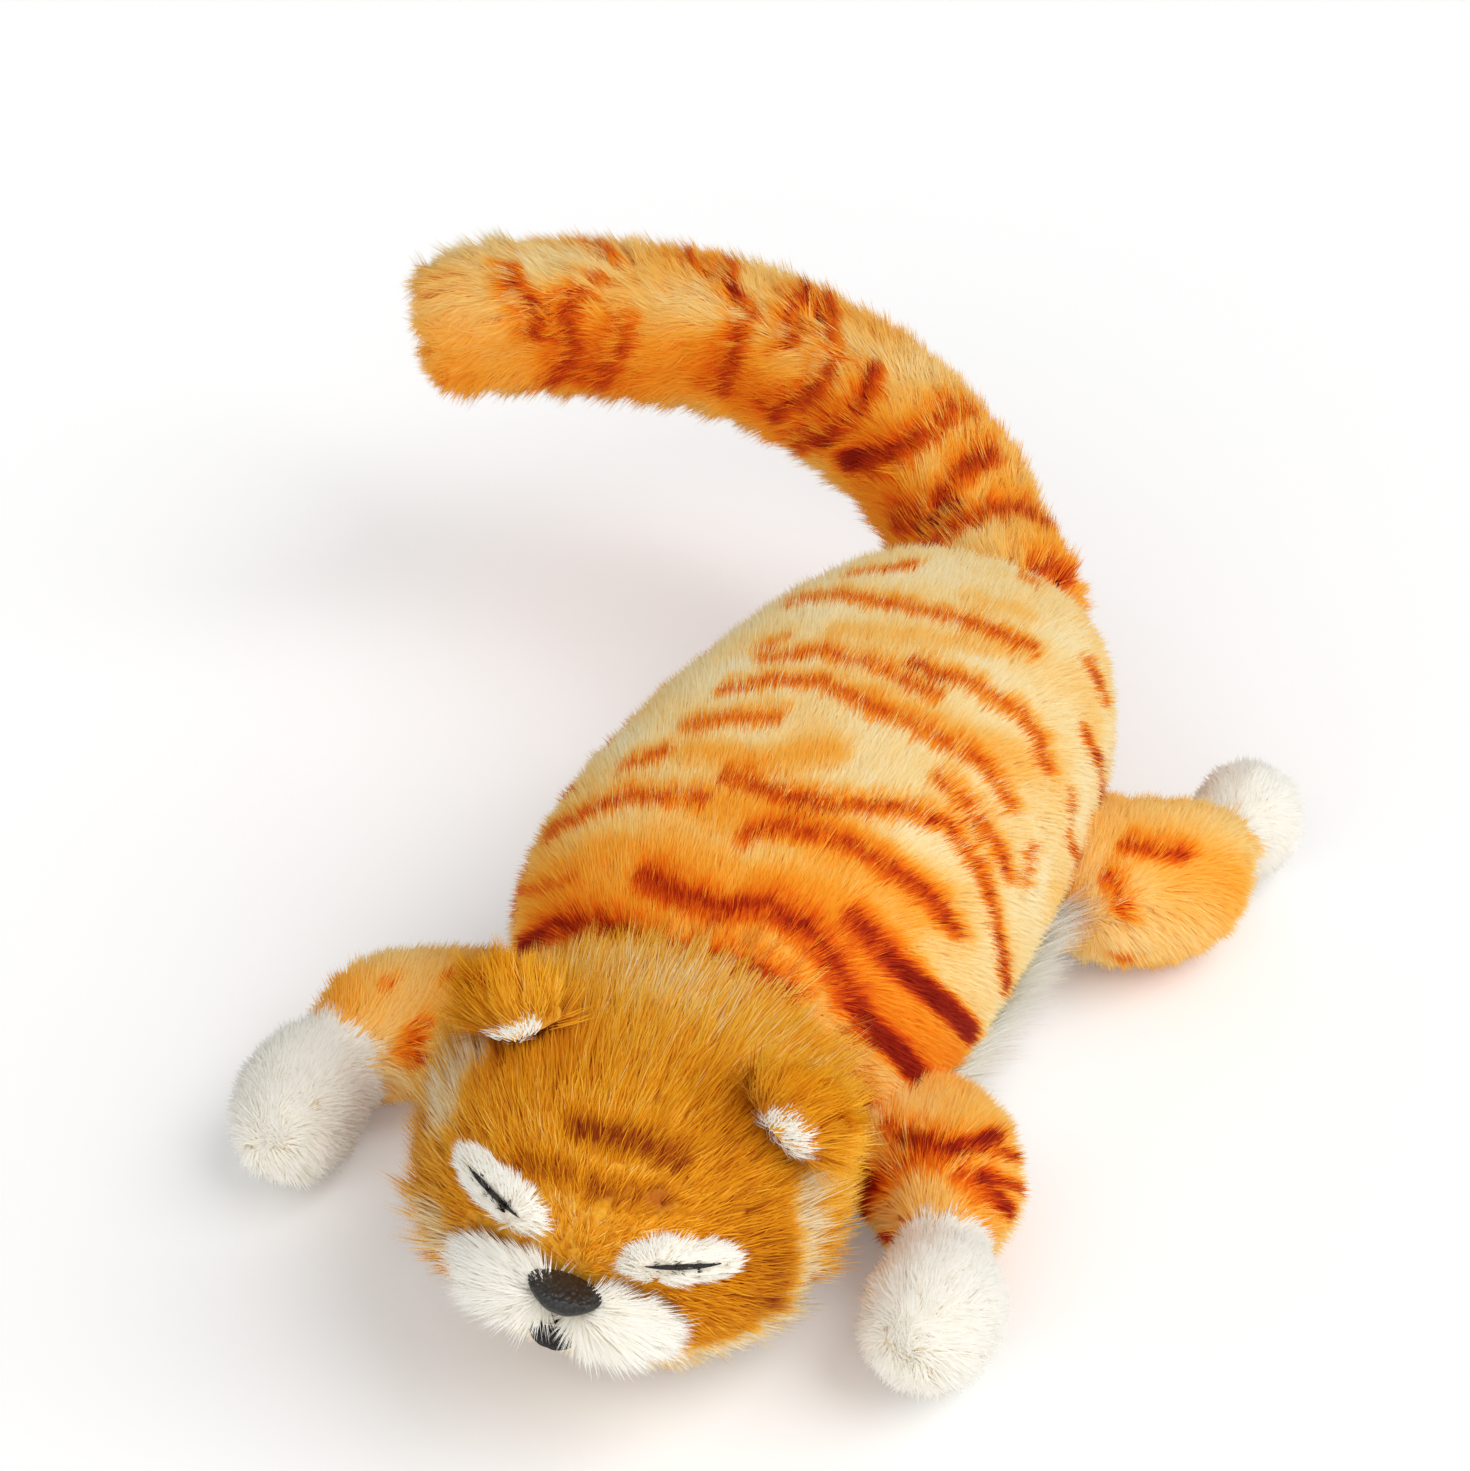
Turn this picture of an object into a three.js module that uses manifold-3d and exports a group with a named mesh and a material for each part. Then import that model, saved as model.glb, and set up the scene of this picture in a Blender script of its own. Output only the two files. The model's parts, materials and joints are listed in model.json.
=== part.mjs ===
// A stuffed laughing cat that lies on its belly with its chin on the floor and its tail in the air.
// A geared motor inside its body turns the stiff tail, which pushes on the floor and rolls the cat over.
// All sizes are in millimetres. The cat faces -Y, its left side is +X, and it lies on the plane Z = 0.
import * as THREE from "three";
import { mergeVertices } from "three/addons/utils/BufferGeometryUtils.js";
import Module from "manifold-3d";

const wasm = await Module();
wasm.setup();

// Clearances
const SEAT_GAP = 0.3; // between pieces that are sewn, pressed or screwed together
const RUN_GAP = 0.4; // round a piece that turns or slides
const FLOOR_CUT = 0.5; // how far a soft form is flattened where it lies on the floor
const REACH = 400; // longer than the whole cat, for cuts that go right through

// Torso, with widths and heights at five even stations from neck to rump
const TORSO_FRONT_Y = -86;
const TORSO_LENGTH = 214;
const NECK_WIDTH = 128;
const SHOULDER_WIDTH = 131;
const BELLY_WIDTH = 124;
const HIP_WIDTH = 112;
const RUMP_WIDTH = 100;
const NECK_HEIGHT = 100;
const SHOULDER_HEIGHT = 106;
const BELLY_HEIGHT = 109;
const HIP_HEIGHT = 106;
const RUMP_HEIGHT = 100;
const TORSO_BLUNTNESS = 3.6; // how square the ends are: 2 is an ellipsoid
const TORSO_SQUARENESS = 2.5; // how square the section is: 2 is an ellipse
const COVER_WALL = 5; // backing cloth and pile
const BELLY_SEAM_Z = 26; // where the white belly meets the striped back

// Head, which is turned a little to the cat's left and leans on its left cheek
const HEAD_WIDTH = 106;
const HEAD_HEIGHT = 90;
const HEAD_LENGTH = 96;
const HEAD_OVERLAP = 20; // how far the head laps over the front of the torso
const HEAD_TURN_DEGREES = 12.3;
const HEAD_LEAN_DEGREES = 13.5;
const HEAD_RISE = 6; // of the face above the back of the head
const HEAD_BLUNTNESS = 2.3;
const HEAD_SQUARENESS = 2.2;

// Face, placed by the height above the middle of the head and the distance from the middle of the face
const EYE_SPREAD = 22.5;
const EYE_UP = 18.5;
const EYE_LENGTH = 27;
const EYE_HEIGHT = 10;
const EYE_PROUD = 2.5;
const EYE_TILT_DEGREES = -6; // the outer corner is the higher one
const EYELID_LENGTH = 22;
const EYELID_HEIGHT = 1.8;
const EYELID_PROUD = 4.5;
const MUZZLE_SPREAD = 12;
const MUZZLE_UP = 0.5;
const MUZZLE_SIZE = [15.5, 12.5, 10.5];
const NOSE_UP = 7.5;
const NOSE_SIZE = [9, 6, 4.6];
const MOUTH_UP = -9;
const MOUTH_SIZE = [6, 6, 3.5];
const EAR_INSET = 21; // from the side of the head to the middle of an ear
const EAR_BACK = 41; // how far behind the front of the face an ear stands
const EAR_LENGTH = 17; // out of the head
const EAR_SUNK = 10; // inside the head, before the head cuts it off
const EAR_WIDTH = 30;
const EAR_THICKNESS = 12;
const EAR_LINING_WIDTH = 14;
const EAR_LINING_LENGTH = 12;
const EAR_LINING_THICKNESS = 5;
const EAR_BLUNTNESS = 2.2;

// Legs, each a spine from the torso to the wrist and half widths and heights along it
// A front leg's Y starts at the front of the torso, and a hind leg's at the rump.
const LEGS = {
  front_left: {
    spine: [[44, 46, 24], [68, 27, 24], [82, 4, 22]],
    girth: [[25, 24], [24, 24.5], [20, 21.5]],
    pawSpine: [[82, 8, 21], [87, -14, 21], [86, -37, 19]],
    pawGirth: [[18, 19], [20.5, 21.5], [19, 19.5]],
  },
  front_right: {
    spine: [[-46, 38, 22], [-84, 12, 21], [-101, -4, 20]],
    girth: [[25, 22], [23, 21.5], [20, 19.5]],
    pawSpine: [[-99, 1, 20], [-90, -25, 20], [-82, -49, 18]],
    pawGirth: [[18, 18], [20.5, 20.5], [19, 18.5]],
  },
  hind_left: {
    spine: [[42, -74, 25], [72, -52, 25], [80, -24, 22]],
    girth: [[26, 25], [25, 25.5], [20, 21.5]],
    pawSpine: [[80, -28, 21], [81, -9, 20.5], [82, 9, 19]],
    pawGirth: [[17, 19], [19, 21], [18, 19.5]],
  },
  hind_right: {
    spine: [[-42, -76, 25], [-68, -58, 25], [-76, -32, 22]],
    girth: [[26, 25], [25, 25.5], [20, 21.5]],
    pawSpine: [[-76, -36, 21], [-76, -15, 20.5], [-74, 5, 19]],
    pawGirth: [[17, 19], [19, 21], [18, 19.5]],
  },
};
const LIMB_BLUNTNESS = 2.6;

// Tail
const TAIL_AXIS_Z = 63;
const TAIL_RADIUS = 26;
const TAIL_PIVOT_INSET = 2; // from the rump to the middle of the ball socket that the tail's root turns in
const TAIL_SOCKET_GAP = 10;
const TAIL_ROOT = 8; // from the root's end to the middle of the socket
const TAIL_BEND = [ // from the middle of the socket
  [-21, 21, 2], [-41, 37, 15], [-75, 49, 26], [-115, 53, 33],
  [-160, 45, 33], [-198, 33, 29], [-216, 24, 24],
];
const TAIL_UP = [0.1, 0.4, 1]; // a direction that the tail never runs along
const TAIL_BLUNTNESS = 7;
const TAIL_CORE_RADIUS = 5;
const TAIL_CORE_STOP = 24; // from the end of the core to the tip of the tail
const TAIL_HUB_RADIUS = 9;
const TAIL_HUB_LENGTH = 16;
const TAIL_HUB_CAP = 2; // beyond the end of the shaft
const TAIL_SHAFT_RADIUS = 2.5;
const TAIL_BUSH_WALL = 2.5;
const TAIL_BUSH_PROUD = 2; // behind the housing

// Plastic housing in the torso
const HOUSING_FRONT_Y = -40;
const HOUSING_REAR_Y = 84;
const HOUSING_WIDTH = 68;
const HOUSING_BOTTOM_Z = 11;
const HOUSING_HEIGHT = 70;
const HOUSING_CORNER = 18;
const HOUSING_WALL = 2;
const HOUSING_SPLIT_Z = 46;
const SCREW_POST_RADIUS = 4.5;
const SCREW_POST_HEIGHT = 10;
const SCREW_INSET = 5.5; // from the side of the housing
const SCREW_ROWS_Y = [-28, 22];
const SCREW_RADIUS = 1.3;
const SCREW_LENGTH = 16;
const SCREW_HEAD_RADIUS = 2.6;
const SCREW_HEAD_HEIGHT = 2;
const SCREW_SEAT = 8; // below the split

// Batteries, which lie across the cat
const CELL_RADIUS = 7.25;
const CELL_LENGTH = 50.5;
const CELL_NUB_RADIUS = 2.7;
const CELL_NUB_LENGTH = 1;
const CELL_PITCH = 15;
const CELL_COUNT = 3;
const CELL_LAST_Y = 73;
const CONTACT_THICKNESS = 0.8;
const CONTACT_HEIGHT = 10;
const BAY_WALL = 2;
const BAY_HEIGHT = 15;
const DOOR_MARGIN = 7; // from the first cell to the front edge of the door
const DOOR_SCREW_LENGTH = 9;
const DOOR_SCREW_HEAD_HEIGHT = 1;
const DOOR_POST_COVER = 2; // over the end of the door screw

// Belly opening over the battery door and the switch
const FLAP_FRONT_Y = 16;
const FLAP_LENGTH = 67;
const FLAP_WIDTH = 58;
const TAPE_THICKNESS = 1;
const TAPE_LENGTH = 6;
const TAPE_WIDTH = 24;
const TAPE_MARGIN = 2;

// Gears: three stages of a small gear driving a large one, all turning about Y
const GEAR_MODULE = 0.8;
const SMALL_TEETH = 8;
const LARGE_TEETH = 30;
const GEAR_WIDTH = 4;
const GEAR_LAYER_GAP = 1;
const TOOTH_SHARE = 0.38; // of the pitch at the pitch circle, the rest is gap and backlash
const TOOTH_ADDENDUM = 0.8; // in modules
const TOOTH_DEDENDUM = 1.15; // in modules
const TOOTH_ROOT_SPREAD = 1.6; // against the tooth's width at the pitch circle
const TOOTH_TIP_SPREAD = 0.5;
const AXLE_RADIUS = 1.5;
const PLATE_THICKNESS = 2;
const SECOND_GEAR_DEGREES = 215; // from the output gear, seen from the front
const FIRST_GEAR_DEGREES = 325; // from the second gear
const MOTOR_DEGREES = 20; // from the first gear

// Motor, board, speaker, button and switch
const MOTOR_WIDTH = 20;
const MOTOR_HEIGHT = 15;
const MOTOR_LENGTH = 25;
const MOTOR_CORNER = 6.5;
const MOTOR_SHAFT_RADIUS = 1;
const MOTOR_SHAFT_DEPTH = 8;
const BOARD_Z = 58;
const BOARD_THICKNESS = 1.6;
const BOARD_FRONT_Y = -21;
const BOARD_LENGTH = 54;
const SPEAKER_RADIUS = 18;
const SPEAKER_RIM_DEPTH = 3.5;
const SPEAKER_MAGNET_RADIUS = 11;
const SPEAKER_MAGNET_DEPTH = 7;
const SPEAKER_PORT_RADIUS = 13;
const BUTTON_Y = 4;
const BUTTON_RADIUS = 8;
const BUTTON_PROUD = 3;
const BUTTON_FLANGE = 2.5;
const BUTTON_FLANGE_THICKNESS = 2;
const BUTTON_TRAVEL = 2;
const BUTTON_STEM = 8; // below the flange
const PUSH_SWITCH_SIZE = 6;
const SWITCH_Y = 22.5;
const SWITCH_TRAVEL = 4;
const SWITCH_KNOB = 3;
const SWITCH_PLATE = 10;
const SWITCH_PLATE_WIDTH = 6;
const SWITCH_PLATE_THICKNESS = 1.5;
const SWITCH_BODY_WALL = 2;
const SWITCH_BODY_TOP = 4;

// Materials
function finish(color, roughness, metalness = 0) {
  return new THREE.MeshStandardMaterial({ color, roughness, metalness });
}
const STRIPED_PLUSH = finish(0xe9a44a, 0.95);
const AMBER_PLUSH = finish(0xc98a2c, 0.95);
const WHITE_PLUSH = finish(0xf4f1ea, 0.95);
const WADDING = finish(0xe8e8e4, 1);
const BLACK_FELT = finish(0x2a292b, 0.9);
const WHITE_FELT = finish(0xf7f6f2, 0.9);
const TAPE = finish(0xd9d9d4, 0.95);
const HOUSING_PLASTIC = finish(0xd8d5cc, 0.5);
const GEAR_PLASTIC = finish(0xf2efe6, 0.4);
const STEEL = finish(0xb8bcc0, 0.35, 1);
const BRASS = finish(0xc9a55a, 0.4, 1);
const BOARD_GREEN = finish(0x2d6a3e, 0.6);
const BLACK_PLASTIC = finish(0x202124, 0.5);
const CELL_WRAP = finish(0x3b4a63, 0.4);

// Solids

function solidOf(geometry) {
  const bare = geometry.clone();
  bare.deleteAttribute("normal");
  bare.deleteAttribute("uv");
  const merged = mergeVertices(bare, 1e-4);
  const corners = merged.index.array;
  const triangles = [];
  for (let i = 0; i < corners.length; i += 3) {
    const [a, b, c] = corners.slice(i, i + 3);
    if (a !== b && b !== c && a !== c) triangles.push(a, b, c);
  }
  const vertProperties = new Float32Array(merged.attributes.position.array);
  const triVerts = new Uint32Array(triangles);
  return new wasm.Manifold(new wasm.Mesh({ numProp: 3, vertProperties, triVerts }));
}

function geometryOf(solid) {
  const mesh = solid.getMesh();
  const geometry = new THREE.BufferGeometry();
  geometry.setAttribute("position", new THREE.BufferAttribute(mesh.vertProperties, 3));
  geometry.setIndex(new THREE.BufferAttribute(mesh.triVerts, 1));
  geometry.computeVertexNormals();
  return geometry;
}

function box([x0, x1], [y0, y1], [z0, z1]) {
  const geometry = new THREE.BoxGeometry(x1 - x0, y1 - y0, z1 - z0);
  return solidOf(geometry.translate((x0 + x1) / 2, (y0 + y1) / 2, (z0 + z1) / 2));
}

function rodAlongY(radius, x, z, [y0, y1], sides = 14) {
  const geometry = new THREE.CylinderGeometry(radius, radius, y1 - y0, sides);
  return solidOf(geometry.translate(x, (y0 + y1) / 2, z));
}

function rodAlongZ(radius, x, y, [z0, z1], sides = 14) {
  const geometry = new THREE.CylinderGeometry(radius, radius, z1 - z0, sides);
  return solidOf(geometry.rotateX(Math.PI / 2).translate(x, y, (z0 + z1) / 2));
}

function rodAlongX(radius, y, z, [x0, x1], sides = 16) {
  const geometry = new THREE.CylinderGeometry(radius, radius, x1 - x0, sides);
  return solidOf(geometry.rotateZ(Math.PI / 2).translate((x0 + x1) / 2, y, z));
}

// A flat outline drawn in X and Z, made solid from one Y to another.
function slabAlongY(shape, [y0, y1], curveSegments = 4) {
  const geometry = new THREE.ExtrudeGeometry(shape, { depth: y1 - y0, bevelEnabled: false, curveSegments });
  return solidOf(geometry.rotateX(Math.PI / 2).translate(0, y1, 0));
}

function roundedRectangle([x0, x1], [z0, z1], radius) {
  const shape = new THREE.Shape();
  shape.moveTo(x0 + radius, z0);
  shape.lineTo(x1 - radius, z0);
  shape.absarc(x1 - radius, z0 + radius, radius, -Math.PI / 2, 0);
  shape.lineTo(x1, z1 - radius);
  shape.absarc(x1 - radius, z1 - radius, radius, 0, Math.PI / 2);
  shape.lineTo(x0 + radius, z1);
  shape.absarc(x0 + radius, z1 - radius, radius, Math.PI / 2, Math.PI);
  shape.lineTo(x0, z0 + radius);
  shape.absarc(x0 + radius, z0 + radius, radius, Math.PI, Math.PI * 1.5);
  return shape;
}

function lump([halfX, halfY, halfZ], centre, turn = new THREE.Quaternion(), sides = 12, rings = 8) {
  const geometry = new THREE.SphereGeometry(1, sides, rings).scale(halfX, halfY, halfZ);
  return solidOf(geometry.applyQuaternion(turn).translate(...centre));
}

// Stuffed forms: a spine of points, with half widths and half heights along it

function makeForm(spine, girth, bluntness, squareness, sides, rings, up = new THREE.Vector3(0, 0, 1)) {
  return {
    spine: new THREE.CatmullRomCurve3(spine.map((point) => new THREE.Vector3(...point))),
    girth: new THREE.CatmullRomCurve3(girth.map(([width, height]) => new THREE.Vector3(width, height, 0))),
    bluntness,
    squareness,
    sides,
    rings,
    up,
  };
}

// The point of a form that lies in the direction of a unit vector, grown outward by a distance.
function onForm(form, unit, grow = 0) {
  const along = -unit.y;
  const share = (1 + along) / 2;
  const girth = form.girth.getPoint(share);
  const forward = form.spine.getTangent(share);
  const side = new THREE.Vector3().crossVectors(form.up, forward).normalize();
  const top = new THREE.Vector3().crossVectors(forward, side);
  const point = form.spine.getPoint(share).addScaledVector(forward, grow * along);
  const ring = Math.hypot(unit.x, unit.z);
  if (ring < 1e-9) return point;
  const across = unit.x / ring;
  const upward = unit.z / ring;
  const square = form.squareness;
  const corner = (Math.abs(across) ** square + Math.abs(upward) ** square) ** (-1 / square);
  const swell = corner * (1 - Math.abs(along) ** form.bluntness) ** (1 / form.bluntness);
  point.addScaledVector(side, (girth.x + grow) * swell * across);
  return point.addScaledVector(top, (girth.y + grow) * swell * upward);
}

function stuffed(form, grow = 0) {
  const ball = new THREE.SphereGeometry(1, form.sides, form.rings);
  const places = ball.attributes.position;
  const unit = new THREE.Vector3();
  for (let i = 0; i < places.count; i++) {
    unit.fromBufferAttribute(places, i);
    places.setXYZ(i, ...onForm(form, unit, grow));
  }
  return solidOf(ball);
}

// The forms that other pieces are cut by or sit in

const torsoWidths = [NECK_WIDTH, SHOULDER_WIDTH, BELLY_WIDTH, HIP_WIDTH, RUMP_WIDTH];
const torsoHeights = [NECK_HEIGHT, SHOULDER_HEIGHT, BELLY_HEIGHT, HIP_HEIGHT, RUMP_HEIGHT];
const torsoStep = TORSO_LENGTH / (torsoHeights.length - 1);
const torsoForm = makeForm(
  torsoHeights.map((height, i) => [0, TORSO_FRONT_Y + i * torsoStep, height / 2 - FLOOR_CUT]),
  torsoHeights.map((height, i) => [torsoWidths[i] / 2, height / 2]),
  TORSO_BLUNTNESS, TORSO_SQUARENESS, 20, 14,
);
const rumpY = TORSO_FRONT_Y + TORSO_LENGTH;

const headTurn = THREE.MathUtils.degToRad(HEAD_TURN_DEGREES);
const headForward = new THREE.Vector3(Math.sin(headTurn), -Math.cos(headTurn), 0);
const headLean = THREE.MathUtils.degToRad(HEAD_LEAN_DEGREES);
const headSide = new THREE.Vector3(Math.cos(headTurn), Math.sin(headTurn), 0)
  .multiplyScalar(Math.cos(headLean)).setZ(-Math.sin(headLean));
const headUp = headSide.clone().cross(headForward).negate();
const headBack = new THREE.Vector3(0, TORSO_FRONT_Y + HEAD_OVERLAP, HEAD_HEIGHT / 2 - FLOOR_CUT);
const headFront = headBack.clone().addScaledVector(headForward, HEAD_LENGTH);
headFront.z += HEAD_RISE;
const headMiddle = headBack.clone().lerp(headFront, 0.5);
const headForm = makeForm(
  [headBack, headMiddle, headFront].map((point) => point.toArray()),
  [1, 1, 1].map(() => [HEAD_WIDTH / 2, HEAD_HEIGHT / 2]),
  HEAD_BLUNTNESS, HEAD_SQUARENESS, 16, 12, headUp,
);

const belowFloor = box([-REACH, REACH], [-REACH, REACH], [-REACH, 0]);
const torsoOuter = stuffed(torsoForm);
const torsoSeat = stuffed(torsoForm, SEAT_GAP);
const torsoCavity = stuffed(torsoForm, -COVER_WALL);
const headOuter = stuffed(headForm);
const headSeat = stuffed(headForm, SEAT_GAP);

const tailPivot = new THREE.Vector3(0, rumpY - TAIL_PIVOT_INSET, TAIL_AXIS_Z);
const tailSocketRadius = TAIL_RADIUS + TAIL_SOCKET_GAP;
const tailSocket = lump([1, 1, 1].map(() => tailSocketRadius), tailPivot.toArray(), undefined, 20, 14);

const housingSides = [-HOUSING_WIDTH / 2, HOUSING_WIDTH / 2];
const housingTopZ = HOUSING_BOTTOM_Z + HOUSING_HEIGHT;
function housingBlock(grow) {
  const outline = roundedRectangle(
    [housingSides[0] - grow, housingSides[1] + grow],
    [HOUSING_BOTTOM_Z - grow, housingTopZ + grow],
    HOUSING_CORNER + grow,
  );
  return slabAlongY(outline, [HOUSING_FRONT_Y - grow, HOUSING_REAR_Y + grow]);
}
const housingOuter = housingBlock(0);
const housingShell = housingOuter.subtract(housingBlock(-HOUSING_WALL));
const floorZ = HOUSING_BOTTOM_Z + HOUSING_WALL;
const ceilingZ = housingTopZ - HOUSING_WALL;
const rearWallY = HOUSING_REAR_Y - HOUSING_WALL;

function belowSplit(solid) {
  return solid.subtract(box([-REACH, REACH], [-REACH, REACH], [HOUSING_SPLIT_Z - SEAT_GAP / 2, REACH]));
}

function aboveSplit(solid) {
  return solid.subtract(box([-REACH, REACH], [-REACH, REACH], [-REACH, HOUSING_SPLIT_Z + SEAT_GAP / 2]));
}

// The scene graph: one group for each thing that moves as one

const cat = new THREE.Group();
function addGroup() {
  const group = new THREE.Group();
  cat.add(group);
  return group;
}

function addPiece(group, name, solid, material, place = [0, 0, 0]) {
  const mesh = new THREE.Mesh(geometryOf(solid), material);
  mesh.name = name;
  mesh.position.set(...place);
  group.add(mesh);
}

// Torso cover: a striped back and a white belly with a flap over the battery door

const torso = addGroup();
const flap = addGroup();
const flapEnds = [FLAP_FRONT_Y, FLAP_FRONT_Y + FLAP_LENGTH];
const flapHole = box([-FLAP_WIDTH / 2, FLAP_WIDTH / 2], flapEnds, [-REACH, BELLY_SEAM_Z]);
const flapBlock = box(
  [-FLAP_WIDTH / 2 + RUN_GAP, FLAP_WIDTH / 2 - RUN_GAP],
  [flapEnds[0] + RUN_GAP, flapEnds[1] - RUN_GAP],
  [-REACH, BELLY_SEAM_Z],
);
const cover = torsoOuter.subtract(torsoCavity).subtract(belowFloor).subtract(housingBlock(SEAT_GAP));
const aboveSeam = box([-REACH, REACH], [-REACH, REACH], [BELLY_SEAM_Z + SEAT_GAP / 2, REACH]);
const belowSeam = box([-REACH, REACH], [-REACH, REACH], [-REACH, BELLY_SEAM_Z - SEAT_GAP / 2]);
addPiece(torso, "torso_plush", cover.intersect(aboveSeam).subtract(tailSocket), STRIPED_PLUSH);
addPiece(torso, "belly_panel", cover.intersect(belowSeam).subtract(flapHole), WHITE_PLUSH);
addPiece(flap, "belly_flap", cover.intersect(flapBlock), WHITE_PLUSH);

function tape(depth) {
  const layer = stuffed(torsoForm, -depth).subtract(stuffed(torsoForm, -depth - TAPE_THICKNESS));
  const end = flapEnds[1] - RUN_GAP - TAPE_MARGIN;
  const sides = [-TAPE_WIDTH / 2, TAPE_WIDTH / 2];
  return layer.intersect(box(sides, [end - TAPE_LENGTH, end], [-REACH, BELLY_SEAM_Z]));
}
const hookDepth = COVER_WALL + SEAT_GAP;
const loopDepth = hookDepth + TAPE_THICKNESS + SEAT_GAP;
addPiece(flap, "hook_tape", tape(hookDepth), TAPE);
addPiece(torso, "loop_tape", tape(loopDepth), TAPE);

const buttonTopZ = housingTopZ + BUTTON_PROUD;
const bushRadius = TAIL_SHAFT_RADIUS + RUN_GAP + TAIL_BUSH_WALL;
const bushEnds = [rearWallY, HOUSING_REAR_Y + TAIL_BUSH_PROUD];
const padding = stuffed(torsoForm, -COVER_WALL - SEAT_GAP)
  .subtract(housingBlock(SEAT_GAP))
  .subtract(flapHole)
  .subtract(tailSocket)
  .subtract(rodAlongY(bushRadius + RUN_GAP, 0, TAIL_AXIS_Z, [HOUSING_REAR_Y, rumpY]))
  .subtract(rodAlongZ(BUTTON_RADIUS + RUN_GAP, 0, BUTTON_Y, [ceilingZ, buttonTopZ + SEAT_GAP]));
addPiece(torso, "torso_padding", padding, WADDING);

// Head, its filling and its face

const head = addGroup();
const headCover = headOuter.subtract(stuffed(headForm, -COVER_WALL)).subtract(belowFloor);
addPiece(head, "head_plush", headCover.subtract(torsoSeat), AMBER_PLUSH);
addPiece(head, "head_filling", stuffed(headForm, -COVER_WALL - SEAT_GAP).subtract(torsoSeat), WADDING);

// The front of the face at a height and a distance from its middle, with the way out from there.
function onFace(across, height) {
  const square = HEAD_SQUARENESS;
  const sideShare = Math.abs(across) / (HEAD_WIDTH / 2);
  const topShare = Math.abs(height) / (HEAD_HEIGHT / 2);
  const ring = (sideShare ** square + topShare ** square) ** (1 / square);
  const along = (1 - ring ** HEAD_BLUNTNESS) ** (1 / HEAD_BLUNTNESS);
  const point = headMiddle.clone()
    .addScaledVector(headForward, along * HEAD_LENGTH / 2)
    .addScaledVector(headSide, across)
    .addScaledVector(headUp, height);
  const out = new THREE.Vector3()
    .addScaledVector(headForward, along / (HEAD_LENGTH / 2))
    .addScaledVector(headSide, across / (HEAD_WIDTH / 2) ** 2)
    .addScaledVector(headUp, height / (HEAD_HEIGHT / 2) ** 2);
  return { point, out: out.normalize() };
}

// A turn that lays X along the surface, level with the head but for a tilt, and Y into it.
function facing(out, tilt) {
  const level = headUp.clone().cross(out).normalize();
  const upward = new THREE.Vector3().crossVectors(out, level);
  const frame = new THREE.Matrix4().makeBasis(level, out.clone().negate(), upward);
  const turn = new THREE.Quaternion().setFromRotationMatrix(frame);
  return turn.multiply(new THREE.Quaternion().setFromAxisAngle(new THREE.Vector3(0, 1, 0), tilt));
}

const faceFrame = new THREE.Matrix4().makeBasis(headSide, headForward.clone().negate(), headUp);
const faceTurn = new THREE.Quaternion().setFromRotationMatrix(faceFrame);
faceFrame.setPosition(headMiddle);

// One side of the face, up to the seam down its middle.
function faceHalf(sign) {
  const across = sign > 0 ? [SEAT_GAP / 2, REACH] : [-REACH, -SEAT_GAP / 2];
  return box(across, [-REACH, REACH], [-REACH, REACH]).transform(faceFrame.toArray());
}

function muzzleLump(sign, grow) {
  const { point } = onFace(sign * MUZZLE_SPREAD, MUZZLE_UP);
  return lump(MUZZLE_SIZE.map((half) => half + grow), point.toArray(), faceTurn);
}
const muzzleSeat = muzzleLump(1, SEAT_GAP).add(muzzleLump(-1, SEAT_GAP));
for (const [side, sign] of [["left", 1], ["right", -1]]) {
  const muzzle = muzzleLump(sign, 0).subtract(headSeat).intersect(faceHalf(sign));
  addPiece(head, `muzzle_${side}`, muzzle, WHITE_PLUSH);

  const { point, out } = onFace(sign * EYE_SPREAD, EYE_UP);
  const turn = facing(out, sign * THREE.MathUtils.degToRad(EYE_TILT_DEGREES));
  const eyeHalves = [EYE_LENGTH / 2, EYE_PROUD, EYE_HEIGHT / 2];
  const eye = lump(eyeHalves, point.toArray(), turn, 12, 6).subtract(headSeat);
  addPiece(head, `eye_patch_${side}`, eye, WHITE_FELT);
  const lidHalves = [EYELID_LENGTH / 2, EYELID_PROUD, EYELID_HEIGHT / 2];
  const eyeSeat = lump(eyeHalves.map((half) => half + SEAT_GAP), point.toArray(), turn, 12, 6);
  const lid = lump(lidHalves, point.toArray(), turn, 12, 6).subtract(eyeSeat).subtract(headSeat);
  addPiece(head, `eyelid_${side}`, lid, BLACK_FELT);
}

const nosePlace = onFace(0, NOSE_UP).point.addScaledVector(headForward, MUZZLE_SIZE[1] / 2);
const mouthPlace = onFace(0, MOUTH_UP).point.addScaledVector(headForward, MOUTH_SIZE[1] / 2);
const nose = lump(NOSE_SIZE, nosePlace.toArray(), faceTurn).subtract(headSeat).subtract(muzzleSeat);
const mouth = lump(MOUTH_SIZE, mouthPlace.toArray(), faceTurn).subtract(headSeat).subtract(muzzleSeat);
addPiece(head, "nose", nose, BLACK_FELT);
addPiece(head, "mouth", mouth, BLACK_FELT);

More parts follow.
